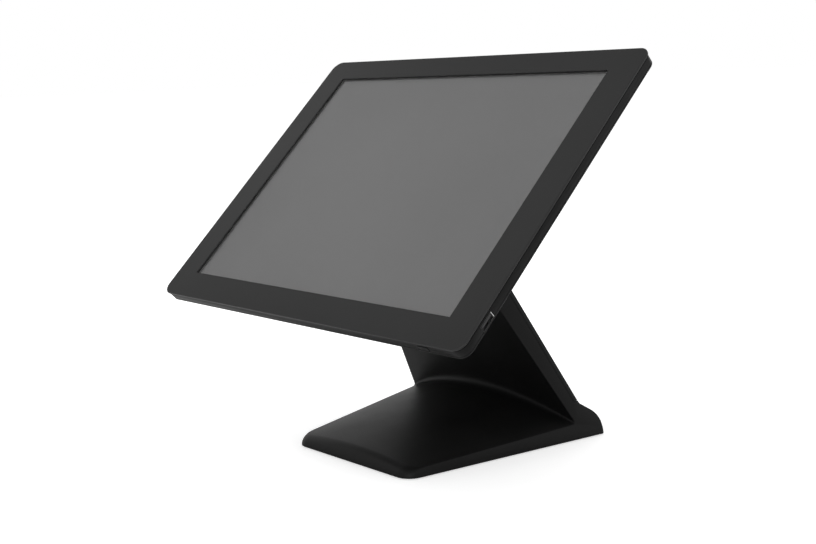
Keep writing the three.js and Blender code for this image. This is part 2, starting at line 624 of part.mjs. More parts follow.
function makeSwitchBoard() {
  return block([BUTTON_X - 14, BUTTON_MIDDLE - 1.3, SWITCH_BOARD_BOTTOM],
    [BUTTON_X + 14, BUTTON_MIDDLE + 2.4, SWITCH_BOARD_BOTTOM + 1]);
}

function makeSidePortBoard() {
  const front = SIDE_PORT_MIDDLE + USB_THICKNESS / 2 + GAP;
  return block([HOUSING_SCREW_X - 20, front, SIDE_PORT_HEIGHT - 11],
    [HOUSING_SCREW_X + 1, front + 1, SIDE_PORT_HEIGHT + 11]);
}

function makeTouchBoard() {
  const front = LCD_BACK + GAP;
  const board = block([-122, front, -122], [-84, front + 1, -102]);
  const chip = block([-108, front + 0.9, -116], [-98, front + 1.9, -106]);
  return board.add(chip);
}

function makeHeatSink() {
  const low = [-27, BOARD_BACK + GAP + 1.2 + GAP, -4];
  const high = [27, HOUSING_DEPTH - HOUSING_WALL - 1, 42];
  const pieces = [block(low, [high[0], low[1] + 2, high[2]])];
  const fins = 9;
  const pitch = (high[0] - low[0] - 1.2) / (fins - 1);
  for (let i = 0; i < fins; i += 1) {
    const x = low[0] + i * pitch;
    pieces.push(block([x, low[1] + 1, low[2]], [x + 1.2, high[1], high[2]]));
  }
  return joined(pieces);
}

function makeSpeaker(side) {
  const x = side * SPEAKER_X;
  const front = CHASSIS_BACK + GAP;
  const outline = roundedRectangle(x - 20, x + 20, SPEAKER_Z - 12, SPEAKER_Z + 12, 3);
  const body = acrossY(outline, front, SPEAKER_BACK, 2);
  const cone = turned('y', [x, 0, SPEAKER_Z], [[0, SPEAKER_BACK - 1.2], [5, SPEAKER_BACK - 1.2],
    [9.5, SPEAKER_BACK + 1], [0, SPEAKER_BACK + 1]], 16);
  return body.subtract(cone);
}

// The head's half of the hinge: a plate on the housing with a barrel behind it
function makeHeadKnuckle() {
  const front = HOUSING_DEPTH + GAP;
  const back = front + HEAD_PLATE_THICKNESS;
  const half = HEAD_PLATE_SIZE / 2;
  const outline = roundedRectangle(-half, half, FIXING_MIDDLE - half, FIXING_MIDDLE + half, 6);
  const plate = acrossY(outline, front, back, 3);
  const axis = [0, AXIS_BEHIND_GLASS, FIXING_MIDDLE];
  const barrel = rod('x', axis, KNUCKLE_RADIUS, -KNUCKLE_HALF_LENGTH, KNUCKLE_HALF_LENGTH, 24);
  const web = block([-KNUCKLE_HALF_LENGTH, front + 1, FIXING_MIDDLE - 7],
    [KNUCKLE_HALF_LENGTH, AXIS_BEHIND_GLASS, FIXING_MIDDLE + 7]);
  const bore = rod('x', axis, SHAFT_RADIUS + GAP, -KNUCKLE_HALF_LENGTH - 1, KNUCKLE_HALF_LENGTH + 1, 16);
  const holes = fixingPoints.map(([x, z]) => rod('y', [x, 0, z], 2.3, front - 1, back + 1, 12));
  return cutBy(joined([plate, web, barrel]), [bore, ...holes]);
}

function makeHead() {
  const display = new THREE.Group();
  const boardParts = BOARD_BACK + GAP;
  addPart(display, 'cover_glass', makeCoverGlass(), GLASS);
  addPart(display, 'glass_tape', makeGlassTape(), TAPE);
  addPart(display, 'front_frame', makeFrontFrame(), FRAME_PLASTIC);
  addPart(display, 'lcd_tray', makeLcdTray(), TIN_PLATE);
  addPart(display, 'lcd_cell', makeLcdLayer(CELL_FRONT, CELL_FRONT + CELL_THICKNESS), SCREEN);
  addPart(display, 'backlight', makeLcdLayer(CELL_FRONT + CELL_THICKNESS + 0.25, LCD_BACK - 1.1), DIFFUSER);
  addPart(display, 'chassis_plate', makeChassis(), STEEL);
  addPart(display, 'mainboard', makeMainboard(), CIRCUIT_BOARD);
  addPart(display, 'processor', block([-16, boardParts, 6], [16, boardParts + 1.2, 32]), CHIP);
  addPart(display, 'heat_sink', makeHeatSink(), ALUMINIUM);
  addPart(display, 'memory_module',
    block([-80, boardParts, -42], [-50, boardParts + 3.6, 25.6]), CIRCUIT_BOARD);
  addPart(display, 'solid_state_drive', block([51, boardParts, -36], [73, boardParts + 2.4, 44]), CHIP);
  addPart(display, 'wireless_card', block([50, boardParts, 48], [72, boardParts + 2.4, 62]), CIRCUIT_BOARD);
  addPart(display, 'coin_cell', rod('y', [-62, 0, 48], 10, boardParts, boardParts + 3.2, 20), STEEL);
  addPart(display, 'touch_controller', makeTouchBoard(), CIRCUIT_BOARD);
  addPart(display, 'speaker_left', makeSpeaker(-1), CHIP);
  addPart(display, 'speaker_right', makeSpeaker(1), CHIP);
  for (const port of REAR_PORTS) {
    addPart(display, port.name, makeRearPort(port), port.name === 'dc_inlet' ? CHIP : TIN_PLATE);
  }
  addPart(display, 'side_usb_port', makeSidePort(), TIN_PLATE);
  addPart(display, 'side_port_board', makeSidePortBoard(), CIRCUIT_BOARD);
  addPart(display, 'power_button', makePowerButton(), FRAME_PLASTIC);
  addPart(display, 'power_switch', makePowerSwitch(), CHIP);
  addPart(display, 'switch_board', makeSwitchBoard(), CIRCUIT_BOARD);
  addPart(display, 'rear_housing', makeRearHousing(), PLASTIC);
  addPart(display, 'connector_cover', makeBayCover(), PLASTIC);
  addPart(display, 'head_hinge_plate', makeHeadKnuckle(), BLACK_STEEL);
  fixingPoints.forEach(([x, z], index) => {
    const seat = HOUSING_DEPTH + GAP + HEAD_PLATE_THICKNESS + GAP;
    addPart(display, `head_screw_${index + 1}`, screw('y', [x, seat, z], -1, 3.6, 1.7, 9), STEEL);
  });
  let index = 0;
  for (const side of [-1, 1]) {
    for (const level of [-1, 1]) {
      index += 1;
      const at = [side * HOUSING_SCREW_X, HOUSING_SCREW_SEAT + GAP, level * HOUSING_SCREW_HEIGHT];
      addPart(display, `housing_screw_${index}`, screw('y', at, -1, 2.4, 1, 6), STEEL);
    }
  }
  display.position.set(0, -AXIS_BEHIND_GLASS, AXIS_BELOW_CENTRE);
  const head = new THREE.Group();
  head.add(display);
  head.position.set(0, HINGE_Y, HINGE_HEIGHT);
  head.rotation.x = -HEAD_TILT;
  return head;
}

// ---------------------------------------------------------------------------------------------------
// Stand: y back from the front edge of the base, z up from the table
// ---------------------------------------------------------------------------------------------------

// Everything between the two side planes, drawn in by `inset`
function makeSidePlanes(inset) {
  const geometry = new THREE.BoxGeometry(2, BASE_LENGTH * 1.4, HINGE_HEIGHT * 1.4);
  geometry.translate(0, BASE_LENGTH / 2, HINGE_HEIGHT / 2);
  const position = geometry.getAttribute('position');
  for (let i = 0; i < position.count; i += 1) {
    const half = halfWidthAt(position.getY(i), position.getZ(i)) - inset * SIDE_SCALE;
    position.setX(i, Math.sign(position.getX(i)) * half);
  }
  return solidOf(geometry);
}

// Plan of the base on the table, with its rounded corners
function planOutline(inset) {
  const front = inset;
  const rear = BASE_LENGTH - inset;
  const frontHalf = halfWidthAt(front, 0) - inset;
  const rearHalf = halfWidthAt(rear, 0) - inset;
  const turn = Math.atan(SIDE_SPREAD);
  const frontRound = Math.max(BASE_FRONT_CORNER - inset, 2);
  const rearRound = Math.max(BASE_REAR_CORNER - inset, 2);
  const frontX = frontHalf - frontRound * Math.tan((Math.PI / 2 - turn) / 2 + turn) * 0.82;
  const rearX = rearHalf - rearRound * 1.2;
  const outline = new THREE.Shape();
  outline.absarc(frontX, front + frontRound, frontRound, -Math.PI / 2, -turn, false);
  outline.absarc(rearX, rear - rearRound, rearRound, -turn, Math.PI / 2, false);
  outline.absarc(-rearX, rear - rearRound, rearRound, Math.PI / 2, Math.PI + turn, false);
  outline.absarc(-frontX, front + frontRound, frontRound, Math.PI + turn, 1.5 * Math.PI, false);
  outline.closePath();
  return outline;
}

// Height of the crowned top; `across` is -1 at the left edge, 0 in the middle and 1 at the right edge
function topHeight(across, y) {
  const back = Math.min(Math.max(y / neckFrontAt(EDGE_HEIGHT_NECK), 0), 1.1);
  const edge = EDGE_HEIGHT_FRONT + (EDGE_HEIGHT_NECK - EDGE_HEIGHT_FRONT) * back;
  const crown = CROWN_FRONT + (CROWN_NECK - CROWN_FRONT) * back;
  const full = edge + crown * (1 - across * across);
  if (y >= LIP_LENGTH) return full;
  const fall = (LIP_LENGTH - y) / LIP_LENGTH;
  return LIP_HEIGHT + (full - LIP_HEIGHT) * Math.sqrt(Math.max(1 - fall * fall, 0));
}

// The solid below the crowned top, lowered and drawn in by `inset`
function makeCrown(inset) {
  const columns = 12;
  const rows = 16;
  const geometry = new THREE.BoxGeometry(2.2, 2, 2, columns, rows, 1);
  const position = geometry.getAttribute('position');
  for (let i = 0; i < position.count; i += 1) {
    const across = position.getX(i);
    const along = (position.getY(i) + 1) / 2;
    const y = along < 0.375 ? LIP_LENGTH * (along / 0.375) ** 1.6
      : LIP_LENGTH + (NECK_REAR_FOOT - LIP_LENGTH) * (along - 0.375) / 0.625;
    const z = position.getZ(i) > 0 ? topHeight(across, y) - inset : -5;
    position.setXYZ(i, across * halfWidthAt(y, 0), y + inset, Math.max(z, -5));
  }
  const aheadOfNeck = acrossX(polygon([
    [-10, -10], [neckMiddleAt(-10), -10], [neckMiddleAt(60), 60], [-10, 60]]), -200, 200);
  return solidOf(geometry).intersect(aheadOfNeck);
}

function neckOutline(inset, foot) {
  const frontShift = inset / Math.cos(NECK_FRONT_LEAN);
  const rearShift = inset / Math.cos(NECK_REAR_LEAN);
  const outline = new THREE.Shape();
  outline.moveTo(neckFrontAt(foot) + frontShift, foot);
  outline.lineTo(neckRearAt(foot) - rearShift, foot);
  outline.absarc(HINGE_Y, HINGE_HEIGHT, KNUCKLE_RADIUS - inset,
    NECK_REAR_LEAN, Math.PI + NECK_FRONT_LEAN, false);
  outline.closePath();
  return outline;
}

// Side outline of the heel behind the neck, with its rounded shoulder
function heelOutline(inset, bottom) {
  const rear = BASE_LENGTH - inset;
  const topFront = neckMiddleAt(HEEL_TOP);
  const neck = new THREE.Vector2(neckRearAt(HEEL_TOP), HEEL_TOP - inset);
  const shoulder = new THREE.Vector2(rear - HEEL_SHOULDER_SETBACK, HEEL_TOP - HEEL_SHOULDER_DROP - inset);
  const foot = new THREE.Vector2(rear, BASE_BOTTOM);
  const before = shoulder.clone().add(neck.clone().sub(shoulder).setLength(HEEL_ROUND));
  const after = shoulder.clone().add(foot.clone().sub(shoulder).setLength(HEEL_ROUND));
  const outline = new THREE.Shape();
  outline.moveTo(topFront, bottom);
  outline.lineTo(rear, bottom);
  if (bottom < BASE_BOTTOM) outline.lineTo(foot.x, foot.y);
  outline.lineTo(after.x, after.y);
  outline.quadraticCurveTo(shoulder.x, shoulder.y, before.x, before.y);
  outline.lineTo(neck.x, neck.y);
  outline.lineTo(topFront, HEEL_TOP - inset);
  outline.closePath();
  return outline;
}

function makeStandBody(inset, bottom) {
  const neck = acrossX(neckOutline(inset, bottom), -200, 200, 12);
  const heel = acrossX(heelOutline(inset, bottom), -200, 200, 5);
  const base = makeCrown(inset).add(heel);
  const plan = acrossZ(planOutline(inset), bottom, 60);
  return base.intersect(plan).add(neck).intersect(makeSidePlanes(inset));
}

// A band just inside the rear face of the neck, from above the heel to below the hinge
function makeRearBand(depth, extra) {
  const foot = REAR_COVER_FOOT - extra;
  const top = HINGE_HEIGHT - 8 + extra;
  const shift = depth / Math.cos(NECK_REAR_LEAN);
  return acrossX(polygon([
    [neckRearAt(foot) - shift, foot], [neckRearAt(foot) + 20, foot],
    [neckRearAt(top) + 20, top], [neckRearAt(top) - shift, top]]), -200, 200);
}

// Room for the head's barrel between the two cheeks at the top of the neck
function makeKnuckleRoom() {
  const reach = KNUCKLE_HALF_LENGTH + 0.6;
  const round = rod('x', [0, HINGE_Y, HINGE_HEIGHT], KNUCKLE_RADIUS + 0.8, -reach, reach, 24);
  const above = block([-reach, HINGE_Y - 30, HINGE_HEIGHT], [reach, HINGE_Y + 30, HINGE_HEIGHT + 30]);
  return round.add(above);
}

// Screws of the bottom plate into the cover's bosses, and of the spine's foot into the plate: [x, y]
const standPlateScrews = [
  [-48, 34], [48, 34], [-74, 140], [74, 140],
];
const SPINE_FOOT_TOP = PLATE_TOP + 0.2 + SPINE_THICKNESS;
const SPINE_LENGTH = (HINGE_HEIGHT - SPINE_FOOT_TOP + 1) / Math.cos(NECK_LEAN);
const SPINE_BEND = HINGE_Y + Math.sin(NECK_LEAN) * SPINE_LENGTH; // where its foot turns forwards
const spineScrews = [[-32, SPINE_BEND - 36], [32, SPINE_BEND - 36]];

function makeStandCover(skin, room) {
  let cover = skin.subtract(room);
  for (const [x, y] of standPlateScrews) {
    const boss = rod('z', [x, y, 0], 4, PLATE_TOP + GAP, 60, 12).intersect(skin);
    cover = cover.add(boss).subtract(rod('z', [x, y, 0], 1.4, 0, SCREW_DEPTH + 1, 10));
  }
  const outlet = acrossY(roundedRectangle(-CABLE_OUTLET_WIDTH / 2, CABLE_OUTLET_WIDTH / 2,
    BASE_BOTTOM - 8, BASE_BOTTOM + CABLE_OUTLET_HEIGHT, 3), BASE_LENGTH - 20, BASE_LENGTH + 5);
  return cutBy(cover, [makeRearBand(REAR_COVER_DEPTH + GAP, GAP), makeKnuckleRoom(), outlet]);
}

function makeBottomPlate() {
  const slab = acrossZ(planOutline(PLATE_INSET), PLATE_BOTTOM, PLATE_TOP);
  const ahead = block([-200, LIP_LENGTH + 3, -5], [200, BASE_LENGTH, 20]);
  const notch = block([-CABLE_OUTLET_WIDTH / 2, BASE_LENGTH - 14, -5],
    [CABLE_OUTLET_WIDTH / 2, BASE_LENGTH + 5, 20]);
  const holes = standPlateScrews.map(([x, y]) => rod('z', [x, y, 0], 1.9, -5, 20, 10));
  const recesses = standPlateScrews.map(([x, y]) => rod('z', [x, y, 0], 3, -5, PLATE_SCREW_SEAT, 12));
  const threads = spineScrews.map(([x, y]) => rod('z', [x, y, 0], 2, -5, 20, 10));
  return cutBy(slab.intersect(ahead).intersect(makeSidePlanes(PLATE_INSET)),
    [notch, ...holes, ...recesses, ...threads]);
}

// Steel spine: a foot on the bottom plate, a leaning plate up the neck and two ears round the shaft
function makeSpine() {
  const top = KNUCKLE_HALF_LENGTH + WASHER_THICKNESS + 2 * GAP;
  const middle = new THREE.Vector2(Math.sin(NECK_LEAN), -Math.cos(NECK_LEAN));
  const across = new THREE.Vector2(Math.cos(NECK_LEAN), Math.sin(NECK_LEAN));
  const along = (distance, offset) => [
    HINGE_Y + middle.x * distance + across.x * offset,
    HINGE_HEIGHT + middle.y * distance + across.y * offset];
  const start = KNUCKLE_RADIUS + 3;
  const half = SPINE_THICKNESS / 2;
  const side = polygon([along(start, -half), along(start, half),
    along(SPINE_LENGTH, half), along(SPINE_LENGTH, -half)]);
  const plate = acrossX(side, -top - EAR_THICKNESS, top + EAR_THICKNESS);
  const foot = block([-top, SPINE_BEND - 48, PLATE_TOP + 0.2], [top, SPINE_BEND + 2, SPINE_FOOT_TOP]);
  const ear = new THREE.Shape();
  ear.moveTo(...along(start + 14, -EAR_RADIUS + 1.5));
  ear.lineTo(...along(start + 14, EAR_RADIUS - 1.5));
  ear.absarc(HINGE_Y, HINGE_HEIGHT, EAR_RADIUS, NECK_LEAN, Math.PI + NECK_LEAN, false);
  ear.closePath();
  const ears = [-top - EAR_THICKNESS, top].map((x) => acrossX(ear, x, x + EAR_THICKNESS));
  const bore = rod('x', [0, HINGE_Y, HINGE_HEIGHT], SHAFT_RADIUS + GAP, -top - 5, top + 5);
  const cableHole = acrossY(roundedRectangle(-20, 20, 40, 120, 8), -50, 250);
  const screwHoles = spineScrews.map(([x, y]) => rod('z', [x, y, 0], 2.3, 0, 20, 10));
  return cutBy(joined([plate, foot, ...ears]), [bore, cableHole, ...screwHoles]);
}

function makeNut(side) {
  const start = KNUCKLE_HALF_LENGTH + WASHER_THICKNESS + EAR_THICKNESS + 3 * GAP;
  const from = side > 0 ? start : -start - NUT_THICKNESS;
  const at = [0, HINGE_Y, HINGE_HEIGHT];
  const hexagon = rod('x', at, NUT_RADIUS, from, from + NUT_THICKNESS, 6);
  return hexagon.subtract(rod('x', at, SHAFT_RADIUS + 0.2, from - 1, from + NUT_THICKNESS + 1));
}

function makeFrictionWashers(side) {
  const start = KNUCKLE_HALF_LENGTH + GAP;
  const from = side > 0 ? start : -start - WASHER_THICKNESS;
  const at = [0, HINGE_Y, HINGE_HEIGHT];
  const disc = rod('x', at, EAR_RADIUS, from, from + WASHER_THICKNESS);
  return disc.subtract(rod('x', at, SHAFT_RADIUS + 0.2, from - 1, from + WASHER_THICKNESS + 1));
}

function makeStand() {
  const stand = new THREE.Group();
  const skin = makeStandBody(0, BASE_BOTTOM);
  const room = makeStandBody(STAND_WALL, -5);
  addPart(stand, 'stand_cover', makeStandCover(skin, room), PLASTIC);
  const rearCover = skin.subtract(room).intersect(makeRearBand(REAR_COVER_DEPTH, 0));
  addPart(stand, 'neck_rear_cover', rearCover.subtract(makeKnuckleRoom()), PLASTIC);
  addPart(stand, 'bottom_plate', makeBottomPlate(), BLACK_STEEL);
  addPart(stand, 'neck_spine', makeSpine(), STEEL);
  const ballastTop = PLATE_TOP + 0.2 + BALLAST_HEIGHT;
  addPart(stand, 'ballast_weight', block([-44, 62, PLATE_TOP + 0.2], [44, 112, ballastTop]), STEEL);
  const feet = [[-44, 24], [44, 24], [-76, BASE_LENGTH - 26], [76, BASE_LENGTH - 26]];
  feet.forEach(([x, y], index) => {
    const profile = [[0, 0], [FOOT_RADIUS - 0.4, 0], [FOOT_RADIUS, 0.4],
      [FOOT_RADIUS, FOOT_THICKNESS], [0, FOOT_THICKNESS]];
    addPart(stand, `foot_${index + 1}`, turned('z', [x, y, 0], profile, 20), RUBBER);
  });
  standPlateScrews.forEach(([x, y], index) => {
    const length = SCREW_DEPTH - PLATE_SCREW_SEAT;
    addPart(stand, `bottom_screw_${index + 1}`,
      screw('z', [x, y, PLATE_SCREW_SEAT - GAP], 1, 2.4, 1, length), STEEL);
  });
  spineScrews.forEach(([x, y], index) => {
    const length = SPINE_THICKNESS + PLATE_THICKNESS;
    addPart(stand, `spine_screw_${index + 1}`,
      screw('z', [x, y, SPINE_FOOT_TOP + GAP], -1, 3.6, 1.7, length), STEEL);
  });
  const shaftEnd = KNUCKLE_HALF_LENGTH + 12;
  addPart(stand, 'hinge_shaft',
    rod('x', [0, HINGE_Y, HINGE_HEIGHT], SHAFT_RADIUS, -shaftEnd, shaftEnd, 20), STEEL);
  for (const [word, side] of [['left', -1], ['right', 1]]) {
    addPart(stand, `hinge_nut_${word}`, makeNut(side), STEEL);
    addPart(stand, `friction_washers_${word}`, makeFrictionWashers(side), STEEL);
  }
  return stand;
}

// ---------------------------------------------------------------------------------------------------
// The whole terminal, with its origin on the table under the middle of its box
// ---------------------------------------------------------------------------------------------------

const terminal = new THREE.Group();
terminal.add(makeStand(), makeHead());
terminal.updateMatrixWorld(true);
const box = new THREE.Box3().setFromObject(terminal, true);
terminal.position.y = -(box.min.y + box.max.y) / 2;

export default terminal;
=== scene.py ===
# A countertop point-of-sale touchscreen terminal: a tilting touch head on a leaning neck and a crowned
# base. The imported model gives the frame; this script gives its pieces their finished shapes and surfaces.

import json
import math

import bpy
from mathutils import Matrix, Vector


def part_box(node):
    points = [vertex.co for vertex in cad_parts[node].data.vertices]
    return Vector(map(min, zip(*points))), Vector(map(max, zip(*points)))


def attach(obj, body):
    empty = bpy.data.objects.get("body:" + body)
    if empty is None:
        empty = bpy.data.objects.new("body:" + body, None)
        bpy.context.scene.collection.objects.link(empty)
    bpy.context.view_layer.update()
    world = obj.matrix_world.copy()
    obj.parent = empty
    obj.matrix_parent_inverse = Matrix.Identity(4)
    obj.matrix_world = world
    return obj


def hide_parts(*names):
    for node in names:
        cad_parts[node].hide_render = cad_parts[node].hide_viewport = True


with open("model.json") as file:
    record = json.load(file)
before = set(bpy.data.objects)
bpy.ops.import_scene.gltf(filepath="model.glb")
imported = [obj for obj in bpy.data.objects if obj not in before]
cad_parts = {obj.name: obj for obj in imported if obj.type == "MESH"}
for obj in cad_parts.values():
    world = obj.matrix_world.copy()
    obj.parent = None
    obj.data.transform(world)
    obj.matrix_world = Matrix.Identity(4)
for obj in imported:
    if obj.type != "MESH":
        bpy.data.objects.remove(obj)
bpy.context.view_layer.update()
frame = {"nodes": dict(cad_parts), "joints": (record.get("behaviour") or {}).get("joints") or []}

# ----------------------------------------------------------------------------------------------------
# Sizes, in millimetres unless they say otherwise
# ----------------------------------------------------------------------------------------------------

MM = 0.001
GAP = 0.3
BEYOND = 200  # far enough to pass the sides of the stand

# Head, in its own directions: x to the right, y back from the face of the glass, z up the screen
HEAD_TILT = math.radians(47.2)
ACTIVE_WIDTH = 304.1
ACTIVE_HEIGHT = 228.1
AXIS_BEHIND_GLASS = 43.4
AXIS_BELOW_CENTRE = 9.4
GLASS_HALF_WIDTH = 178.65
GLASS_TOP = 136.15
GLASS_BOTTOM = -138.35
GLASS_MIDDLE = (GLASS_TOP + GLASS_BOTTOM) / 2
GLASS_HALF_HEIGHT = (GLASS_TOP - GLASS_BOTTOM) / 2
GLASS_THICKNESS = 1.8
GLASS_CORNER = 9.5
GLASS_CHAMFER = 0.35
RIM_INSET = 0.8
PRINT_INSET = 0.5
PRINT_DEPTHS = (0.12, 0.22)  # front and back of the printed piece, from the back of the pane
WALL = 2.1
HOUSING_PROFILE = [(9.3, 0.8), (10.6, 0.8), (11.8, 2.6), (14.5, 8.5), (19, 22), (27.6, 48), (28.6, 52)]
HOUSING_DEPTH = HOUSING_PROFILE[-1][0]
BAY_HALF_WIDTH = 80
BAY_TOP = -64
BAY_FLOOR = 14
BAY_WALL = 2
FIXING_PITCH = 75
SPEAKER_X = GLASS_HALF_WIDTH - 52
SPEAKER_Z = -72
SPEAKER_BACK = 19.5
HOUSING_SCREW_X = GLASS_HALF_WIDTH - 9.15
HOUSING_SCREW_HEIGHT = 88
HOUSING_SCREW_SEAT = 12.9
HOUSING_SCREW_HOLE_RADIUS = 1.9
HOUSING_SCREW_SEAT_RADIUS = 3
BOSS_RADIUS = 3.8
BOSS_FLOOR = 1.1  # from the seat of a housing screw to the inner end of its boss
FIXING_HOLE_RADIUS = 2.3
VENT_COUNT = 15
VENT_PITCH = 8
VENT_HALF_WIDTH = 1.3
VENT_HEIGHTS = (46, 72)
GRILLE_COUNT = 6
GRILLE_PITCH = 4.4
GRILLE_HALF_WIDTH = 0.9
GRILLE_HALF_HEIGHT = 8
LID_BOTTOM = -118
LID_NOTCH_HALF_WIDTH = 25
LID_NOTCH_TOP = -100

# Stand: y back from the front edge of the base, z up from the table
FRONT_HALF_WIDTH = 68.1
SIDE_SPREAD = 0.1884
SIDE_LEAN = 0.1394
BASE_LENGTH = 189
BASE_BOTTOM = 0.8
FRONT_CORNER = 14
REAR_CORNER = 4
EDGE_HEIGHTS = (7.2, 12.6)
CROWN_HEIGHTS = (4, 22.6)
LIP_LENGTH = 9
LIP_HEIGHT = 1.6
STAND_WALL = 2.5
NECK_FRONT_FOOT = 167.5
NECK_FRONT_LEAN = math.radians(30.45)
NECK_REAR_FOOT = 180.6
NECK_REAR_LEAN = math.radians(27.6)
NECK_BLENDS = (10, 4)  # in the middle and at the sides
HEEL_BLEND = 1.5
HEEL_TOP = 29.5
HEEL_SHOULDER_DROP = 11
HEEL_SHOULDER_SETBACK = 7
HEEL_ROUND = 8
HINGE_HEIGHT = 180
CHEEK_WIDTH = 16
REAR_COVER_DEPTH = 3.6
REAR_COVER_FOOT = 32
REAR_COVER_TOP_DROP = 8  # from the hinge's axis to the top of the cover
BARREL_ROOM = 0.8  # round the barrel of the hinge
BARREL_END_ROOM = 0.6
CABLE_OUTLET_WIDTH = 36
CABLE_OUTLET_HEIGHT = 9
SIDE_EDGE_ROUND = 1.1

hinge = Vector(frame["joints"][0]["pos_m"])
stand_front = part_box("stand_cover")[0].y

HEAD_PLACE = (Matrix.Translation(hinge) @ Matrix.Rotation(-HEAD_TILT, 4, "X")
              @ Matrix.Translation(Vector((0, -AXIS_BEHIND_GLASS, AXIS_BELOW_CENTRE)) * MM)
              @ Matrix.Scale(MM, 4))
STAND_PLACE = Matrix.Translation((0, stand_front, 0)) @ Matrix.Scale(MM, 4)

# ----------------------------------------------------------------------------------------------------
# Camera and lights, in metres
# ----------------------------------------------------------------------------------------------------

CAMERA_PLACE = Vector((0.71175, -0.63947, 0.30020))
CAMERA_TURN = 0.8371  # to the left of straight ahead, in radians
CAMERA_DIP = 0.1629
CAMERA_ROLL = -0.0381
CAMERA_LENS = 53.36
CAMERA_SHIFT = (-0.0028, -0.0022)


def add_camera():
    data = bpy.data.cameras.new("camera")
    data.lens = CAMERA_LENS
    data.sensor_width = 36
    data.shift_x, data.shift_y = CAMERA_SHIFT
    ahead = Vector((-math.sin(CAMERA_TURN) * math.cos(CAMERA_DIP),
                    math.cos(CAMERA_TURN) * math.cos(CAMERA_DIP), -math.sin(CAMERA_DIP)))
    level = ahead.cross(Vector((0, 0, 1))).normalized()
    upright = level.cross(ahead)
    right = level * math.cos(CAMERA_ROLL) + upright * math.sin(CAMERA_ROLL)
    up = upright * math.cos(CAMERA_ROLL) - level * math.sin(CAMERA_ROLL)
    turned = Matrix((right, up, -ahead)).transposed()
    camera = bpy.data.objects.new("camera", data)
    camera.matrix_world = Matrix.Translation(CAMERA_PLACE) @ turned.to_4x4()
    bpy.context.scene.collection.objects.link(camera)
    bpy.context.scene.camera = camera


def add_softbox(name, place, aim, size, watts):
    data = bpy.data.lights.new(name, "AREA")
    data.shape = "RECTANGLE"
    data.size, data.size_y = size
    data.energy = watts
    lamp = bpy.data.objects.new(name, data)
    lamp.location = place
    lamp.rotation_euler = (Vector(aim) - Vector(place)).to_track_quat("-Z", "Y").to_euler()
    lamp.visible_camera = False
    bpy.context.scene.collection.objects.link(lamp)


add_camera()
add_softbox("key_softbox", (-0.7, -0.4, 1.5), (0, 0, 0.12), (1.2, 1.2), 6.5)
add_softbox("left_softbox", (-1.5, -0.15, 1.0), (-0.1, -0.05, 0.2), (1.0, 0.8), 1)
add_softbox("front_softbox", (0.8, -1.0, 0.35), (0, 0, 0.05), (0.4, 0.3), 2.5)
add_softbox("right_softbox", (1.3, 1.0, 0.6), (0, 0, 0.1), (0.8, 0.8), 2)
add_softbox("rim_softbox", (-0.5, 1.4, 0.8), (0, 0, 0.12), (1.2, 0.8), 2.5)

# ----------------------------------------------------------------------------------------------------
# Surface effects that several finishes share
# ----------------------------------------------------------------------------------------------------


def new_group(name, inputs, outputs):
    group = bpy.data.node_groups.new(name, "ShaderNodeTree")
    kinds = {"value": "NodeSocketFloat", "colour": "NodeSocketColor", "vector": "NodeSocketVector"}
    for label, kind in inputs:
        group.interface.new_socket(label, in_out="INPUT", socket_type=kinds[kind])
    for label, kind in outputs:
        group.interface.new_socket(label, in_out="OUTPUT", socket_type=kinds[kind])
    return group, group.nodes.new("NodeGroupInput"), group.nodes.new("NodeGroupOutput")


def add_node(tree, kind, settings=None, **values):
    """A node with its settings, and each named input given a number or linked from a socket."""
    node = tree.nodes.new(kind)
    for label, value in (settings or {}).items():
        setattr(node, label, value)
    for label, value in values.items():
        label = label.replace("_", " ")
        socket = node.inputs[int(label[2:])] if label.startswith("at") else node.inputs[label]
        if isinstance(value, bpy.types.NodeSocket):
            tree.links.new(value, socket)
        else:
            socket.default_value = value
    return node


def maths(tree, operation, first, second, clamp=False):
    settings = {"operation": operation, "use_clamp": clamp}
    return add_node(tree, "ShaderNodeMath", settings, at0=first, at1=second).outputs[0]


def spread(tree, value, low, high, to_low, to_high):
    node = add_node(tree, "ShaderNodeMapRange", None, at0=value, at1=low, at2=high, at3=to_low, at4=to_high)
    return node.outputs[0]


def blend_colours(tree, factor, first, second):
    node = add_node(tree, "ShaderNodeMix", {"data_type": "RGBA"}, at0=factor, at6=first, at7=second)
    return node.outputs[2]


def mottled(tree, tone, dark, light):
    """A colour that drifts between two others with a slow tone."""
    return blend_colours(tree, spread(tree, tone, 0.3, 0.7, 0.0, 1.0), dark, light)


def make_moulded_grain():
    """The fine spark-eroded texture of a moulded casing, with slow patches of duller and glossier skin."""
    group, given, out = new_group(
        "moulded_grain",
        [("Vector", "vector"), ("Grain", "value"), ("Low", "value"), ("High", "value")],
        [("Height", "value"), ("Roughness", "value"), ("Tone", "value")])
    vector, grain = given.outputs["Vector"], given.outputs["Grain"]
    fine = add_node(group, "ShaderNodeTexNoise", None, Vector=vector, Scale=grain, Detail=2.0, Roughness=0.6)
    pits = add_node(group, "ShaderNodeTexVoronoi", {"feature": "SMOOTH_F1"}, Vector=vector, Scale=grain,
                    Smoothness=0.6)
    slow = add_node(group, "ShaderNodeTexNoise", None, Vector=vector, Scale=22.0, Detail=3.0)
    height = maths(group, "ADD", fine.outputs[0], pits.outputs["Distance"])
    group.links.new(height, out.inputs["Height"])
    mixed = maths(group, "MULTIPLY", maths(group, "ADD", fine.outputs[0], slow.outputs[0]), 0.5)
    rough = add_node(group, "ShaderNodeMapRange", None, at0=mixed, at1=0.3, at2=0.7,
                     at3=given.outputs["Low"], at4=given.outputs["High"])
    group.links.new(rough.outputs[0], out.inputs["Roughness"])
    group.links.new(slow.outputs[0], out.inputs["Tone"])
    return group


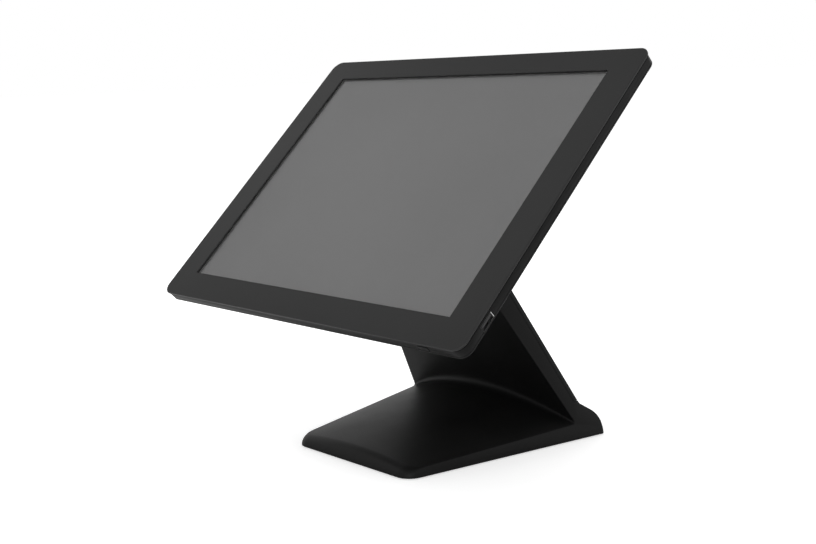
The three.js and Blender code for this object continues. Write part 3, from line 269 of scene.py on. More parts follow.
def make_rubbed_edges():
    """Lightens the edges that hands and cloths rub, more on some stretches than on others."""
    group, given, out = new_group(
        "rubbed_edges",
        [("Colour", "colour"), ("Rubbed", "colour"), ("Amount", "value"), ("Vector", "vector")],
        [("Colour", "colour"), ("Mask", "value")])
    geometry = group.nodes.new("ShaderNodeNewGeometry")
    edge = spread(group, geometry.outputs["Pointiness"], 0.515, 0.6, 0.0, 1.0)
    patches = add_node(group, "ShaderNodeTexNoise", None, Vector=given.outputs["Vector"], Scale=60.0,
                       Detail=4.0)
    worn = maths(group, "MULTIPLY", edge, spread(group, patches.outputs[0], 0.35, 0.65, 0.3, 1.0))
    mask = maths(group, "MULTIPLY", worn, given.outputs["Amount"], clamp=True)
    group.links.new(mask, out.inputs["Mask"])
    colour = blend_colours(group, mask, given.outputs["Colour"], given.outputs["Rubbed"])
    group.links.new(colour, out.inputs["Colour"])
    return group


def make_settled_dust():
    """A thin uneven film of dust on whatever faces up."""
    group, given, out = new_group(
        "settled_dust",
        [("Colour", "colour"), ("Dust", "colour"), ("Amount", "value"), ("Vector", "vector")],
        [("Colour", "colour"), ("Mask", "value")])
    geometry = group.nodes.new("ShaderNodeNewGeometry")
    parts = add_node(group, "ShaderNodeSeparateXYZ", None, at0=geometry.outputs["Normal"])
    upward = spread(group, parts.outputs["Z"], 0.3, 1.0, 0.0, 1.0)
    film = add_node(group, "ShaderNodeTexNoise", None, Vector=given.outputs["Vector"], Scale=35.0, Detail=6.0,
                    Roughness=0.65)
    uneven = spread(group, film.outputs[0], 0.3, 0.7, 0.2, 1.0)
    mask = maths(group, "MULTIPLY", maths(group, "MULTIPLY", upward, uneven), given.outputs["Amount"])
    group.links.new(mask, out.inputs["Mask"])
    colour = blend_colours(group, mask, given.outputs["Colour"], given.outputs["Dust"])
    group.links.new(colour, out.inputs["Colour"])
    return group


def make_rolled_metal():
    """Fine scratches along one direction, with cloudy patches of plating."""
    group, given, out = new_group(
        "rolled_metal",
        [("Vector", "vector"), ("Stretch", "vector"), ("Low", "value"), ("High", "value")],
        [("Height", "value"), ("Roughness", "value"), ("Tone", "value")])
    drawn = add_node(group, "ShaderNodeMapping", None, Vector=given.outputs["Vector"],
                     Scale=given.outputs["Stretch"])
    lines = add_node(group, "ShaderNodeTexNoise", None, Vector=drawn.outputs[0], Scale=1.0, Detail=3.0)
    cloud = add_node(group, "ShaderNodeTexNoise", None, Vector=given.outputs["Vector"], Scale=90.0,
                     Detail=2.0)
    group.links.new(lines.outputs[0], out.inputs["Height"])
    rough = add_node(group, "ShaderNodeMapRange", None, at0=lines.outputs[0], at1=0.3, at2=0.7,
                     at3=given.outputs["Low"], at4=given.outputs["High"])
    group.links.new(rough.outputs[0], out.inputs["Roughness"])
    group.links.new(cloud.outputs[0], out.inputs["Tone"])
    return group


moulded_grain = make_moulded_grain()
rubbed_edges = make_rubbed_edges()
settled_dust = make_settled_dust()
rolled_metal = make_rolled_metal()

# ----------------------------------------------------------------------------------------------------
# Finishes
# ----------------------------------------------------------------------------------------------------


def grey(level, warmth=0.0):
    return (level * (1 + warmth), level, level * (1 - warmth), 1)


def new_finish(name):
    """An empty material with its shader and the object's own coordinates."""
    material = bpy.data.materials.new(name)
    material.use_nodes = True
    tree = material.node_tree
    shader = tree.nodes["Principled BSDF"]
    place = tree.nodes.new("ShaderNodeTexCoord").outputs["Object"]
    return material, tree, shader, place


def use_group(tree, group, **values):
    node = tree.nodes.new("ShaderNodeGroup")
    node.node_tree = group
    for label, value in values.items():
        socket = node.inputs[label]
        if isinstance(value, bpy.types.NodeSocket):
            tree.links.new(value, socket)
        else:
            socket.default_value = value
    return node


def raise_surface(tree, shader, height, depth, strength=1.0):
    bump = add_node(tree, "ShaderNodeBump", None, Height=height, Distance=depth, Strength=strength)
    tree.links.new(bump.outputs[0], shader.inputs["Normal"])


def moulded_plastic(name, level, worn, grain, depth, roughness, specular, dust=0.04):
    material, tree, shader, place = new_finish(name)
    skin = use_group(tree, moulded_grain, Vector=place, Grain=grain, Low=roughness[0], High=roughness[1])
    base = mottled(tree, skin.outputs["Tone"], grey(level * 0.85), grey(level * 1.15))
    edges = use_group(tree, rubbed_edges, Colour=base, Rubbed=grey(worn), Amount=0.5, Vector=place)
    film = use_group(tree, settled_dust, Colour=edges.outputs["Colour"], Dust=grey(0.22, 0.03), Amount=dust,
                     Vector=place)
    tree.links.new(film.outputs["Colour"], shader.inputs["Base Color"])
    tree.links.new(skin.outputs["Roughness"], shader.inputs["Roughness"])
    shader.inputs["Specular IOR Level"].default_value = specular
    raise_surface(tree, shader, skin.outputs["Height"], depth)
    return material


def plated_metal(name, level, warmth, stretch, depth, roughness, metallic=1.0):
    material, tree, shader, place = new_finish(name)
    sheet = use_group(tree, rolled_metal, Vector=place, Stretch=stretch, Low=roughness[0], High=roughness[1])
    base = mottled(tree, sheet.outputs["Tone"], grey(level * 0.88, warmth), grey(level * 1.08, -warmth))
    edges = use_group(tree, rubbed_edges, Colour=base, Rubbed=grey(min(level * 1.4, 0.9)), Amount=0.4,
                      Vector=place)
    tree.links.new(edges.outputs["Colour"], shader.inputs["Base Color"])
    tree.links.new(sheet.outputs["Roughness"], shader.inputs["Roughness"])
    shader.inputs["Metallic"].default_value = metallic
    raise_surface(tree, shader, sheet.outputs["Height"], depth)
    return material


def over_window(tree, place):
    """One in front of the clear window, nought over the border."""
    flat = add_node(tree, "ShaderNodeMapping", {"vector_type": "POINT"}, Vector=place,
                    Scale=(1 / MM, 1 / MM, 1 / MM), Rotation=(HEAD_TILT, 0, 0),
                    Location=HEAD_PLACE.inverted().translation)
    parts = add_node(tree, "ShaderNodeSeparateXYZ", None, at0=flat.outputs[0])
    across, upward = (
        maths(tree, "LESS_THAN", maths(tree, "ABSOLUTE", parts.outputs[axis], 0), size / 2)
        for axis, size in (("X", ACTIVE_WIDTH), ("Z", ACTIVE_HEIGHT)))
    return maths(tree, "MULTIPLY", across, upward)


CLEAR_HAZE = 0.2  # how much of the clear part of the pane is seen, and not what lies behind it


def anti_glare_glass():
    """The pane: a faint haze over the window, opaque black over the border, clear from behind."""
    material, tree, shader, place = new_finish("anti_glare_glass")
    window = over_window(tree, place)
    etch = use_group(tree, moulded_grain, Vector=place, Grain=3200.0, Low=0.3, High=0.36)
    smears = add_node(tree, "ShaderNodeTexNoise", None, Vector=place, Scale=9.0, Detail=5.0, Distortion=0.6)
    haze = spread(tree, smears.outputs[0], 0.3, 0.7, 0.94, 1.06)
    smeared = spread(tree, smears.outputs[0], 0.35, 0.65, 0.0, 1.0)
    colour = blend_colours(tree, smeared, grey(0.04), grey(0.046))
    tree.links.new(blend_colours(tree, window, grey(0.012), colour), shader.inputs["Base Color"])
    tree.links.new(maths(tree, "MULTIPLY", etch.outputs["Roughness"], haze), shader.inputs["Roughness"])
    behind = tree.nodes.new("ShaderNodeNewGeometry").outputs["Backfacing"]
    clear = maths(tree, "MAXIMUM", window, behind)
    veil = spread(tree, clear, 0.0, 1.0, 1.0, CLEAR_HAZE)
    alpha = maths(tree, "SUBTRACT", veil, maths(tree, "MULTIPLY", behind, CLEAR_HAZE))
    tree.links.new(alpha, shader.inputs["Alpha"])
    shader.inputs["Specular IOR Level"].default_value = 0.07
    raise_surface(tree, shader, smears.outputs[0], 0.0002, 0.3)
    return material


def ground_edge():
    """The seamed rim of the pane, a dark matt grey."""
    material, tree, shader, place = new_finish("ground_glass_edge")
    grit = use_group(tree, moulded_grain, Vector=place, Grain=2600.0, Low=0.3, High=0.5)
    tree.links.new(mottled(tree, grit.outputs["Tone"], grey(0.016), grey(0.024)), shader.inputs["Base Color"])
    tree.links.new(grit.outputs["Roughness"], shader.inputs["Roughness"])
    shader.inputs["Specular IOR Level"].default_value = 0.2
    raise_surface(tree, shader, grit.outputs["Height"], 0.00004)
    return material


def screen_print():
    """The dark ink of the printed piece behind the pane."""
    material, tree, shader, place = new_finish("screen_print")
    ink = use_group(tree, moulded_grain, Vector=place, Grain=900.0, Low=0.55, High=0.7)
    tree.links.new(mottled(tree, ink.outputs["Tone"], grey(0.09), grey(0.1)), shader.inputs["Base Color"])
    tree.links.new(ink.outputs["Roughness"], shader.inputs["Roughness"])
    shader.inputs["Specular IOR Level"].default_value = 0.2
    return material


def dark_screen():
    """The switched-off panel: a dark grey polariser with the faint grid of its cells."""
    material, tree, shader, place = new_finish("dark_screen")
    panel = add_node(tree, "ShaderNodeMapping", {"vector_type": "POINT"}, Vector=place)
    panel.inputs["Rotation"].default_value = (HEAD_TILT, 0, 0)
    bricks = add_node(tree, "ShaderNodeTexBrick", {"offset": 0.0}, Vector=panel.outputs[0], Scale=1.0)
    bricks.inputs["Color1"].default_value = grey(0.165)
    bricks.inputs["Color2"].default_value = grey(0.17)
    bricks.inputs["Mortar"].default_value = grey(0.15)
    bricks.inputs["Mortar Size"].default_value = 0.00004
    bricks.inputs["Brick Width"].default_value = 0.00089
    bricks.inputs["Row Height"].default_value = 0.00089
    cloud = add_node(tree, "ShaderNodeTexNoise", None, Vector=place, Scale=6.0, Detail=2.0)
    veil = spread(tree, cloud.outputs[0], 0.3, 0.7, 0.0, 0.12)
    colour = blend_colours(tree, veil, bricks.outputs["Color"], grey(0.145))
    tree.links.new(colour, shader.inputs["Base Color"])
    tree.links.new(spread(tree, cloud.outputs[0], 0.3, 0.7, 0.4, 0.5), shader.inputs["Roughness"])
    shader.inputs["Specular IOR Level"].default_value = 0.3
    raise_surface(tree, shader, bricks.outputs["Fac"], 0.00001, 0.3)
    return material


def printed_board():
    """Green solder mask over copper tracks, with bare pads."""
    material, tree, shader, place = new_finish("printed_board")
    flat = add_node(tree, "ShaderNodeMapping", {"vector_type": "POINT"}, Vector=place)
    flat.inputs["Rotation"].default_value = (HEAD_TILT, 0, 0)
    tracks = add_node(tree, "ShaderNodeTexBrick", None, Vector=flat.outputs[0], Scale=1.0)
    tracks.inputs["Brick Width"].default_value = 0.009
    tracks.inputs["Row Height"].default_value = 0.0016
    tracks.inputs["Mortar Size"].default_value = 0.00022
    tracks.inputs["Color1"].default_value = (0.014, 0.075, 0.03, 1)
    tracks.inputs["Color2"].default_value = (0.018, 0.09, 0.036, 1)
    tracks.inputs["Mortar"].default_value = (0.03, 0.16, 0.06, 1)
    pads = add_node(tree, "ShaderNodeTexVoronoi", None, Vector=place, Scale=420.0)
    bare = spread(tree, pads.outputs["Distance"], 0.16, 0.2, 1.0, 0.0)
    colour = blend_colours(tree, bare, tracks.outputs["Color"], (0.55, 0.42, 0.18, 1))
    tree.links.new(colour, shader.inputs["Base Color"])
    tree.links.new(bare, shader.inputs["Metallic"])
    tree.links.new(spread(tree, bare, 0.0, 1.0, 0.42, 0.3), shader.inputs["Roughness"])
    raise_surface(tree, shader, tracks.outputs["Fac"], 0.00003)
    return material


def white_diffuser():
    material, tree, shader, place = new_finish("white_diffuser")
    sheet = use_group(tree, moulded_grain, Vector=place, Grain=1500.0, Low=0.5, High=0.62)
    base = mottled(tree, sheet.outputs["Tone"], grey(0.76), grey(0.8, 0.01))
    tree.links.new(base, shader.inputs["Base Color"])
    tree.links.new(sheet.outputs["Roughness"], shader.inputs["Roughness"])
    return material


FINISHES = {
    "casing": moulded_plastic("casing_black", 0.0045, 0.02, 1500.0, 0.00002, (0.4, 0.52), 0.16, 0.01),
    "frame": moulded_plastic("frame_black", 0.0035, 0.03, 2000.0, 0.00001, (0.32, 0.42), 0.1, 0.005),
    "button": moulded_plastic("button_black", 0.0045, 0.02, 2400.0, 0.00003, (0.4, 0.5), 0.12, 0.005),
    "resin": moulded_plastic("resin_black", 0.013, 0.04, 1800.0, 0.00004, (0.45, 0.6), 0.4),
    "rubber": moulded_plastic("foot_rubber", 0.012, 0.03, 900.0, 0.00008, (0.75, 0.9), 0.3),
    "foam": moulded_plastic("tape_foam", 0.008, 0.012, 1200.0, 0.0001, (0.85, 0.95), 0.1),
    "powder_coat": moulded_plastic("powder_coat_black", 0.012, 0.09, 1100.0, 0.00009, (0.42, 0.58), 0.4),
    "glass": anti_glare_glass(),
    "glass_edge": ground_edge(),
    "print": screen_print(),
    "screen": dark_screen(),
    "diffuser": white_diffuser(),
    "board": printed_board(),
    "tin_plate": plated_metal("tin_plate", 0.6, 0.01, (900, 60, 900), 0.00001, (0.25, 0.4)),
    "zinc_plate": plated_metal("zinc_plate", 0.5, -0.015, (300, 1400, 300), 0.00002, (0.3, 0.45)),
    "aluminium": plated_metal("fin_aluminium", 0.66, 0.0, (1500, 120, 120), 0.00001, (0.3, 0.42)),
}

# ----------------------------------------------------------------------------------------------------
# Modelling
# ----------------------------------------------------------------------------------------------------


def pick_only(piece):
    if bpy.context.object and bpy.context.object.mode != "OBJECT":
        bpy.ops.object.mode_set(mode="OBJECT")
    bpy.ops.object.select_all(action="DESELECT")
    piece.select_set(True)
    bpy.context.view_layer.objects.active = piece


def apply_modifiers(piece):
    pick_only(piece)
    for modifier in list(piece.modifiers):
        bpy.ops.object.modifier_apply(modifier=modifier.name)


def settle(piece, place):
    """Moves a piece from its own millimetres to its place in the frame, with its object at the origin."""
    piece.data.transform(place)
    piece.data.update()
    return piece


def combine(piece, operation, tool):
    """Changes the piece by another solid, which stays as it is."""
    modifier = piece.modifiers.new("combine", "BOOLEAN")
    modifier.operation = operation
    modifier.solver = "EXACT"
    modifier.object = tool
    apply_modifiers(piece)
    return piece


def cut(piece, *tools):
    """Takes each tool's solid out of the piece and removes the tool."""
    for tool in tools:
        combine(piece, "DIFFERENCE", tool)
        bpy.data.objects.remove(tool)
    return piece


def join_solid(piece, tool):
    combine(piece, "UNION", tool)
    bpy.data.objects.remove(tool)
    return piece


def keep_within(piece, tool):
    return combine(piece, "INTERSECT", tool)


def select_where(piece, kind, wanted):
    """In edit mode, selects only the faces or edges that the test wants."""
    bpy.ops.object.mode_set(mode="EDIT")
    bpy.ops.mesh.select_mode(type=kind)
    bpy.ops.mesh.select_all(action="DESELECT")
    bpy.ops.object.mode_set(mode="OBJECT")
    mesh = piece.data
    for item in (mesh.polygons if kind == "FACE" else mesh.edges):
        item.select = wanted(mesh, item)
    bpy.ops.object.mode_set(mode="EDIT")


def edge_ends(mesh, edge):
    return [mesh.vertices[i].co for i in edge.vertices]


def runs_along(axis):
    def test(mesh, edge):
        one, other = edge_ends(mesh, edge)
        return abs((one - other).normalized()[axis]) > 0.99
    return test


def block(name, low, high, round_along=None, radius=0.0, segments=6):
    """A box between two corners, with the four edges along one axis rounded."""
    low, high = Vector(low), Vector(high)
    bpy.ops.object.select_all(action="DESELECT")
    bpy.ops.mesh.primitive_cube_add(size=1, location=(low + high) / 2, scale=high - low)
    piece = bpy.context.object
    piece.name = piece.data.name = name
    bpy.ops.object.transform_apply(location=True, rotation=True, scale=True)
    if round_along is not None:
        select_where(piece, "EDGE", runs_along(round_along))
        bpy.ops.mesh.bevel(offset=radius, offset_type="OFFSET", segments=segments, affect="EDGES")
        bpy.ops.object.mode_set(mode="OBJECT")
    return piece


def rod(name, centre, axis, radius, length, sides=48):
    turn = {"x": (0, math.pi / 2, 0), "y": (math.pi / 2, 0, 0), "z": (0, 0, 0)}[axis]
    bpy.ops.object.select_all(action="DESELECT")
    bpy.ops.mesh.primitive_cylinder_add(vertices=sides, radius=radius, depth=length, location=centre,
                                        rotation=turn)
    piece = bpy.context.object
    piece.name = piece.data.name = name
    bpy.ops.object.transform_apply(location=True, rotation=True, scale=True)
    return piece


def repeated(piece, count, step):
    modifier = piece.modifiers.new("repeat", "ARRAY")
    modifier.count = count
    modifier.use_relative_offset = False
    modifier.use_constant_offset = True
    modifier.constant_offset_displace = step
    apply_modifiers(piece)
    return piece


def soften(piece, width, segments=2, angle=40):
    modifier = piece.modifiers.new("soften", "BEVEL")
    modifier.width = width
    modifier.segments = segments
    modifier.limit_method = "ANGLE"
    modifier.angle_limit = math.radians(angle)
    modifier.use_clamp_overlap = True
    modifier.harden_normals = False
    apply_modifiers(piece)
    return piece


def shade(piece, angle=32):
    pick_only(piece)
    bpy.ops.object.shade_smooth_by_angle(angle=math.radians(angle))
    return piece


def finish_piece(piece, body, slot, finish, *nodes):
    """Names what a finished piece rides on, its surface, and the nodes that it stands for; the slot is not
    used.
    """
    if not piece.data.materials:
        piece.data.materials.append(FINISHES[finish])
    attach(piece, body)
    if nodes:
        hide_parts(*nodes)
    return piece


MERGE_DISTANCE = 0.000002  # in metres
FLAT_ANGLE = math.radians(0.2)


def dressed_copy(node, name, width):
    """A merged copy of a solid of the model with its sharp edges softened."""
    mesh = frame["nodes"][node].data.copy()
    piece = bpy.data.objects.new(name, mesh)
    piece.data.name = name
    mesh.materials.clear()
    bpy.context.scene.collection.objects.link(piece)
    pick_only(piece)
    bpy.ops.object.mode_set(mode="EDIT")
    bpy.ops.mesh.select_all(action="SELECT")
    bpy.ops.mesh.remove_doubles(threshold=MERGE_DISTANCE)
    bpy.ops.mesh.dissolve_limited(angle_limit=FLAT_ANGLE)
    bpy.ops.object.mode_set(mode="OBJECT")
    if "custom_normal" in mesh.attributes:
        mesh.attributes.remove(mesh.attributes["custom_normal"])
    if width:
        soften(piece, width)
    return shade(piece)


# ----------------------------------------------------------------------------------------------------
# Stand cover: a closed sheet of columns from side to side, each one the outline of the stand at its place
# ----------------------------------------------------------------------------------------------------

SIDE_SCALE = math.hypot(1, SIDE_SPREAD, SIDE_LEAN)
PLAN_SCALE = math.hypot(1, SIDE_SPREAD)


def neck_front_at(z):
    return NECK_FRONT_FOOT - z * math.tan(NECK_FRONT_LEAN)


def neck_rear_at(z):
    return NECK_REAR_FOOT - z * math.tan(NECK_REAR_LEAN)


def half_width_at(y, z):
    return FRONT_HALF_WIDTH + SIDE_SPREAD * y - SIDE_LEAN * z


HINGE_Y = (hinge.y - stand_front) / MM
KNUCKLE_RADIUS = (HINGE_Y - neck_front_at(HINGE_HEIGHT)) * math.cos(NECK_FRONT_LEAN)
KNUCKLE_HALF_LENGTH = half_width_at(HINGE_Y, HINGE_HEIGHT) - CHEEK_WIDTH


def top_height(u, y):
    """Height of the crowned top of the base; u is -1 at the left side and 1 at the right."""
    back = min(max(y / neck_front_at(EDGE_HEIGHTS[1]), 0), 1.1)
    edge = EDGE_HEIGHTS[0] + (EDGE_HEIGHTS[1] - EDGE_HEIGHTS[0]) * back
    crown = CROWN_HEIGHTS[0] + (CROWN_HEIGHTS[1] - CROWN_HEIGHTS[0]) * back
    height = edge
    for _ in range(3):
        across = u * half_width_at(y, height) / half_width_at(y, 0)
        height = edge + crown * (1 - across * across)
    return height


def corner_place(u, middle, radius, from_end, direction):
    """How far a rounded corner of the plan draws column u in from the end of the base."""
    low, high = 0.0, math.pi / 2
    for _ in range(40):
        turn = (low + high) / 2
        inward = radius * (1 - math.cos(turn))
        reach = middle + radius * math.sin(turn)
        if reach < abs(u) * half_width_at(from_end + direction * inward, 0):
            low = turn
        else:
            high = turn
    return radius * (1 - math.cos(low))


def plan_limits(u, inset):
    front_radius, rear_radius = FRONT_CORNER - inset, REAR_CORNER - inset
    front_y, rear_y = inset, BASE_LENGTH - inset
    front_middle = half_width_at(front_y + front_radius, 0) - (front_radius + inset) * PLAN_SCALE
    rear_middle = half_width_at(rear_y - rear_radius, 0) - (rear_radius + inset) * PLAN_SCALE
    front, rear = front_y, rear_y
    if abs(u) * half_width_at(front_y, 0) > front_middle:
        front += corner_place(u, front_middle, front_radius, front_y, 1)
    if abs(u) * half_width_at(rear_y, 0) > rear_middle:
        rear -= corner_place(u, rear_middle, rear_radius, rear_y, -1)
    return front, rear


def between(start, end, count):
    """Points from start up to, but not including, end."""
    return [start.lerp(end, i / count) for i in range(count)]


def rounded(before, corner, after, count):
    """A smooth bend from one point to another that leans on the corner between them."""
    points = []
    for i in range(count):
        t = i / count
        points.append(before * (1 - t) ** 2 + corner * 2 * t * (1 - t) + after * t * t)
    return points


def away(corner, towards, distance):
    return corner + (towards - corner).normalized() * distance


def stand_outline(u, inset, bottom, detail):
    """The closed side outline of column u, as points (depth, height) with the same count for every u."""
    front, rear = plan_limits(u, inset)
    front_lean = Vector((-math.sin(NECK_FRONT_LEAN), math.cos(NECK_FRONT_LEAN)))
    front_shift = inset / math.cos(NECK_FRONT_LEAN)
    rear_shift = inset / math.cos(NECK_REAR_LEAN)
    radius = KNUCKLE_RADIUS - inset
    axis = Vector((HINGE_Y, HINGE_HEIGHT))

    def top(y):
        return top_height(u, y - inset) - inset

    junction_y = neck_front_at(0)
    for _ in range(30):
        junction_y = neck_front_at(top(junction_y)) + front_shift
    junction = Vector((junction_y, top(junction_y)))
    blend = NECK_BLENDS[0] + (NECK_BLENDS[1] - NECK_BLENDS[0]) * u * u
    crown_end = Vector((junction_y - blend, top(junction_y - blend)))
    neck_start = junction + front_lean * blend
    start_angle, end_angle = math.pi + NECK_FRONT_LEAN, NECK_REAR_LEAN
    neck_top = axis + Vector((math.cos(start_angle), math.sin(start_angle))) * radius

    points = between(Vector((front, bottom)), Vector((front, LIP_HEIGHT - inset)), 1)
    lip_steps = 10 * detail
    for i in range(lip_steps):
        turn = math.pi / 2 * i / lip_steps
        y = front + LIP_LENGTH * (1 - math.cos(turn))
        points.append(Vector((y, LIP_HEIGHT - inset + (top(y) - LIP_HEIGHT + inset) * math.sin(turn))))
    crown_steps = 14 * detail
    for i in range(crown_steps):
        y = front + LIP_LENGTH + (crown_end.x - front - LIP_LENGTH) * i / crown_steps
        points.append(Vector((y, top(y))))
    points += rounded(crown_end, junction, neck_start, 8 * detail)
    points += between(neck_start, neck_top, 8 * detail)
    round_steps = 12 * detail
    for i in range(round_steps):
        angle = start_angle + (end_angle - start_angle) * i / round_steps
        points.append(axis + Vector((math.cos(angle), math.sin(angle))) * radius)
    neck_back = axis + Vector((math.cos(end_angle), math.sin(end_angle))) * radius
    heel_foot = Vector((neck_rear_at(HEEL_TOP - inset) - rear_shift, HEEL_TOP - inset))

    shoulder = Vector((BASE_LENGTH - inset - HEEL_SHOULDER_SETBACK, HEEL_TOP - HEEL_SHOULDER_DROP - inset))
    rear_foot = Vector((BASE_LENGTH - inset, bottom))
    heel_bend = (away(heel_foot, neck_back, HEEL_BLEND), away(heel_foot, shoulder, HEEL_BLEND))
    points += between(neck_back, heel_bend[0], 8 * detail)
    points += rounded(heel_bend[0], heel_foot, heel_bend[1], 4 * detail)
    points += between(heel_bend[1], away(shoulder, heel_foot, HEEL_ROUND), 3 * detail)
    points += rounded(away(shoulder, heel_foot, HEEL_ROUND), shoulder,
                      away(shoulder, rear_foot, HEEL_ROUND), 6 * detail)
    points += between(away(shoulder, rear_foot, HEEL_ROUND), rear_foot, 3 * detail)
    points += between(rear_foot, Vector((front, bottom)), 4 * detail)
    return [Vector((min(point.x, rear), point.y)) for point in points]


def column_places(detail):
    """Columns from -1 to 1, closer together where the corners of the plan turn."""
    corner_steps = 8 * detail
    middle = half_width_at(FRONT_CORNER, 0) - FRONT_CORNER * PLAN_SCALE
    full_turn = math.pi / 2 - math.atan(SIDE_SPREAD)
    corner = []
    for i in range(corner_steps + 1):
        turn = full_turn * i / corner_steps
        reach = middle + FRONT_CORNER * math.sin(turn)
        corner.append(reach / half_width_at(FRONT_CORNER * (1 - math.cos(turn)), 0))
    corner[-1] = 1.0
    inner_steps = 20 * detail
    inner = [corner[0] * (2 * i / inner_steps - 1) for i in range(1, inner_steps)]
    return [-u for u in reversed(corner)] + inner + corner


def make_stand_solid(name, inset, bottom, detail):
    columns = column_places(detail)
    outlines = [stand_outline(u, inset, bottom, detail) for u in columns]
    rows = len(outlines[0])
    bpy.ops.object.select_all(action="DESELECT")
    bpy.ops.mesh.primitive_grid_add(x_subdivisions=rows, y_subdivisions=len(columns) - 1, size=2)
    piece = bpy.context.object
    piece.name = piece.data.name = name
    for vertex in piece.data.vertices:
        row = round((vertex.co.x + 1) / 2 * rows) % rows
        column = round((vertex.co.y + 1) / 2 * (len(columns) - 1))
        depth, height = outlines[column][row]
        half = half_width_at(depth, height) - inset * SIDE_SCALE
        vertex.co = (columns[column] * half, depth, height)
    select_where(piece, "EDGE", lambda mesh, edge: False)
    bpy.ops.mesh.select_all(action="SELECT")
    bpy.ops.mesh.remove_doubles(threshold=0.0001)
    for side in (-1, 1):
        def on_side(mesh, edge, side=side):
            return all(abs(end.x - side * (half_width_at(end.y, end.z) - inset * SIDE_SCALE)) < 0.001
                       for end in edge_ends(mesh, edge))
        select_where(piece, "EDGE", on_side)
        bpy.ops.mesh.edge_face_add()
        if inset == 0:
            bpy.ops.mesh.bevel(offset=SIDE_EDGE_ROUND, offset_type="OFFSET", segments=3, affect="EDGES",
                               clamp_overlap=True)
    bpy.ops.mesh.select_all(action="SELECT")
    bpy.ops.mesh.normals_make_consistent(inside=False)
    bpy.ops.object.mode_set(mode="OBJECT")
    return piece


def rear_band(name, depth, extra):
    """A slab just inside the rear face of the neck."""
    foot, top = REAR_COVER_FOOT - extra, HINGE_HEIGHT - REAR_COVER_TOP_DROP + extra
    piece = block(name, (-BEYOND, 0, foot), (BEYOND, 1, top))
    shift = depth / math.cos(NECK_REAR_LEAN)
    for vertex in piece.data.vertices:
        rear = neck_rear_at(vertex.co.z)
        vertex.co.y = rear + 20 if vertex.co.y > 0.5 else rear - shift
    return piece


def make_stand_shell():
    shell = make_stand_solid("stand_shell", 0, BASE_BOTTOM, 2)
    room = make_stand_solid("stand_room", STAND_WALL, -5, 1)
    reach = KNUCKLE_HALF_LENGTH + BARREL_END_ROOM
    barrel_room = rod("barrel_room", (0, HINGE_Y, HINGE_HEIGHT), "x", KNUCKLE_RADIUS + BARREL_ROOM,
                      2 * reach, 64)
    above = block("above", (-reach, HINGE_Y - 30, HINGE_HEIGHT), (reach, HINGE_Y + 30, HINGE_HEIGHT + 30))
    half = CABLE_OUTLET_WIDTH / 2
    outlet = block("outlet", (-half, BASE_LENGTH - 20, BASE_BOTTOM - 8),
                   (half, BASE_LENGTH + 5, BASE_BOTTOM + CABLE_OUTLET_HEIGHT), 1, 3, 6)
    band = rear_band("band", REAR_COVER_DEPTH + GAP, GAP)
    cut(shell, room, barrel_room, above, outlet, band)
    settle(shell, STAND_PLACE)
    return finish_piece(shade(shell, 35), "stand", "black_plastic", "casing", "stand_cover")


# ----------------------------------------------------------------------------------------------------
# Rear housing: the outline of the head pushed back and drawn in along a rounded profile
# ----------------------------------------------------------------------------------------------------


def rounded_profile(stations, distance):
    """The stations with every inner corner turned into a smooth bend."""
    corners = [Vector(station) for station in stations]
    points = [corners[0]]
    for before, corner, after in zip(corners, corners[1:], corners[2:]):
        reach = min(distance, (corner - before).length * 0.45, (after - corner).length * 0.45)
        points += rounded(away(corner, before, reach), corner, away(corner, after, reach), 6)
        points.append(away(corner, after, reach))
    points.append(corners[-1])
    return points


def make_taper(name, stations, corner_radius):
    first = stations[0]
    low = (-GLASS_HALF_WIDTH + first.y, first.x, GLASS_MIDDLE - GLASS_HALF_HEIGHT + first.y)
    high = (GLASS_HALF_WIDTH - first.y, stations[1].x, GLASS_MIDDLE + GLASS_HALF_HEIGHT - first.y)
    piece = block(name, low, high, 1, corner_radius - first.y, 10)
    select_where(piece, "FACE", lambda mesh, face: face.normal.y > 0.9)
    for before, after in zip(stations[1:], stations[2:]):
        bpy.ops.mesh.extrude_region_move(TRANSFORM_OT_translate={"value": (0, after.x - before.x, 0)})
        wide = (GLASS_HALF_WIDTH - after.y) / (GLASS_HALF_WIDTH - before.y)
        tall = (GLASS_HALF_HEIGHT - after.y) / (GLASS_HALF_HEIGHT - before.y)
        bpy.ops.transform.resize(value=(wide, 1, tall), center_override=(0, after.x, GLASS_MIDDLE))
    bpy.ops.object.mode_set(mode="OBJECT")
    return piece


def in_head(node):
    """Lowest and highest corners of a solid of the model in the head's own directions."""
    inverse = HEAD_PLACE.inverted()
    corners = [inverse @ vertex.co for vertex in frame["nodes"][node].data.vertices]
    low = Vector(tuple(min(corner[i] for corner in corners) for i in range(3)))
    high = Vector(tuple(max(corner[i] for corner in corners) for i in range(3)))
    return low, high


def housing_skin(name):
    return make_taper(name, rounded_profile(HOUSING_PROFILE, 4.5), GLASS_CORNER)


def housing_room(name):
    inner = [(HOUSING_PROFILE[0][0] - 1, RIM_INSET + WALL), (HOUSING_PROFILE[2][0] - WALL, RIM_INSET + WALL)]
    inner += [(depth - WALL, inset) for depth, inset in HOUSING_PROFILE[3:]]
    return make_taper(name, [Vector(station) for station in inner], GLASS_CORNER)


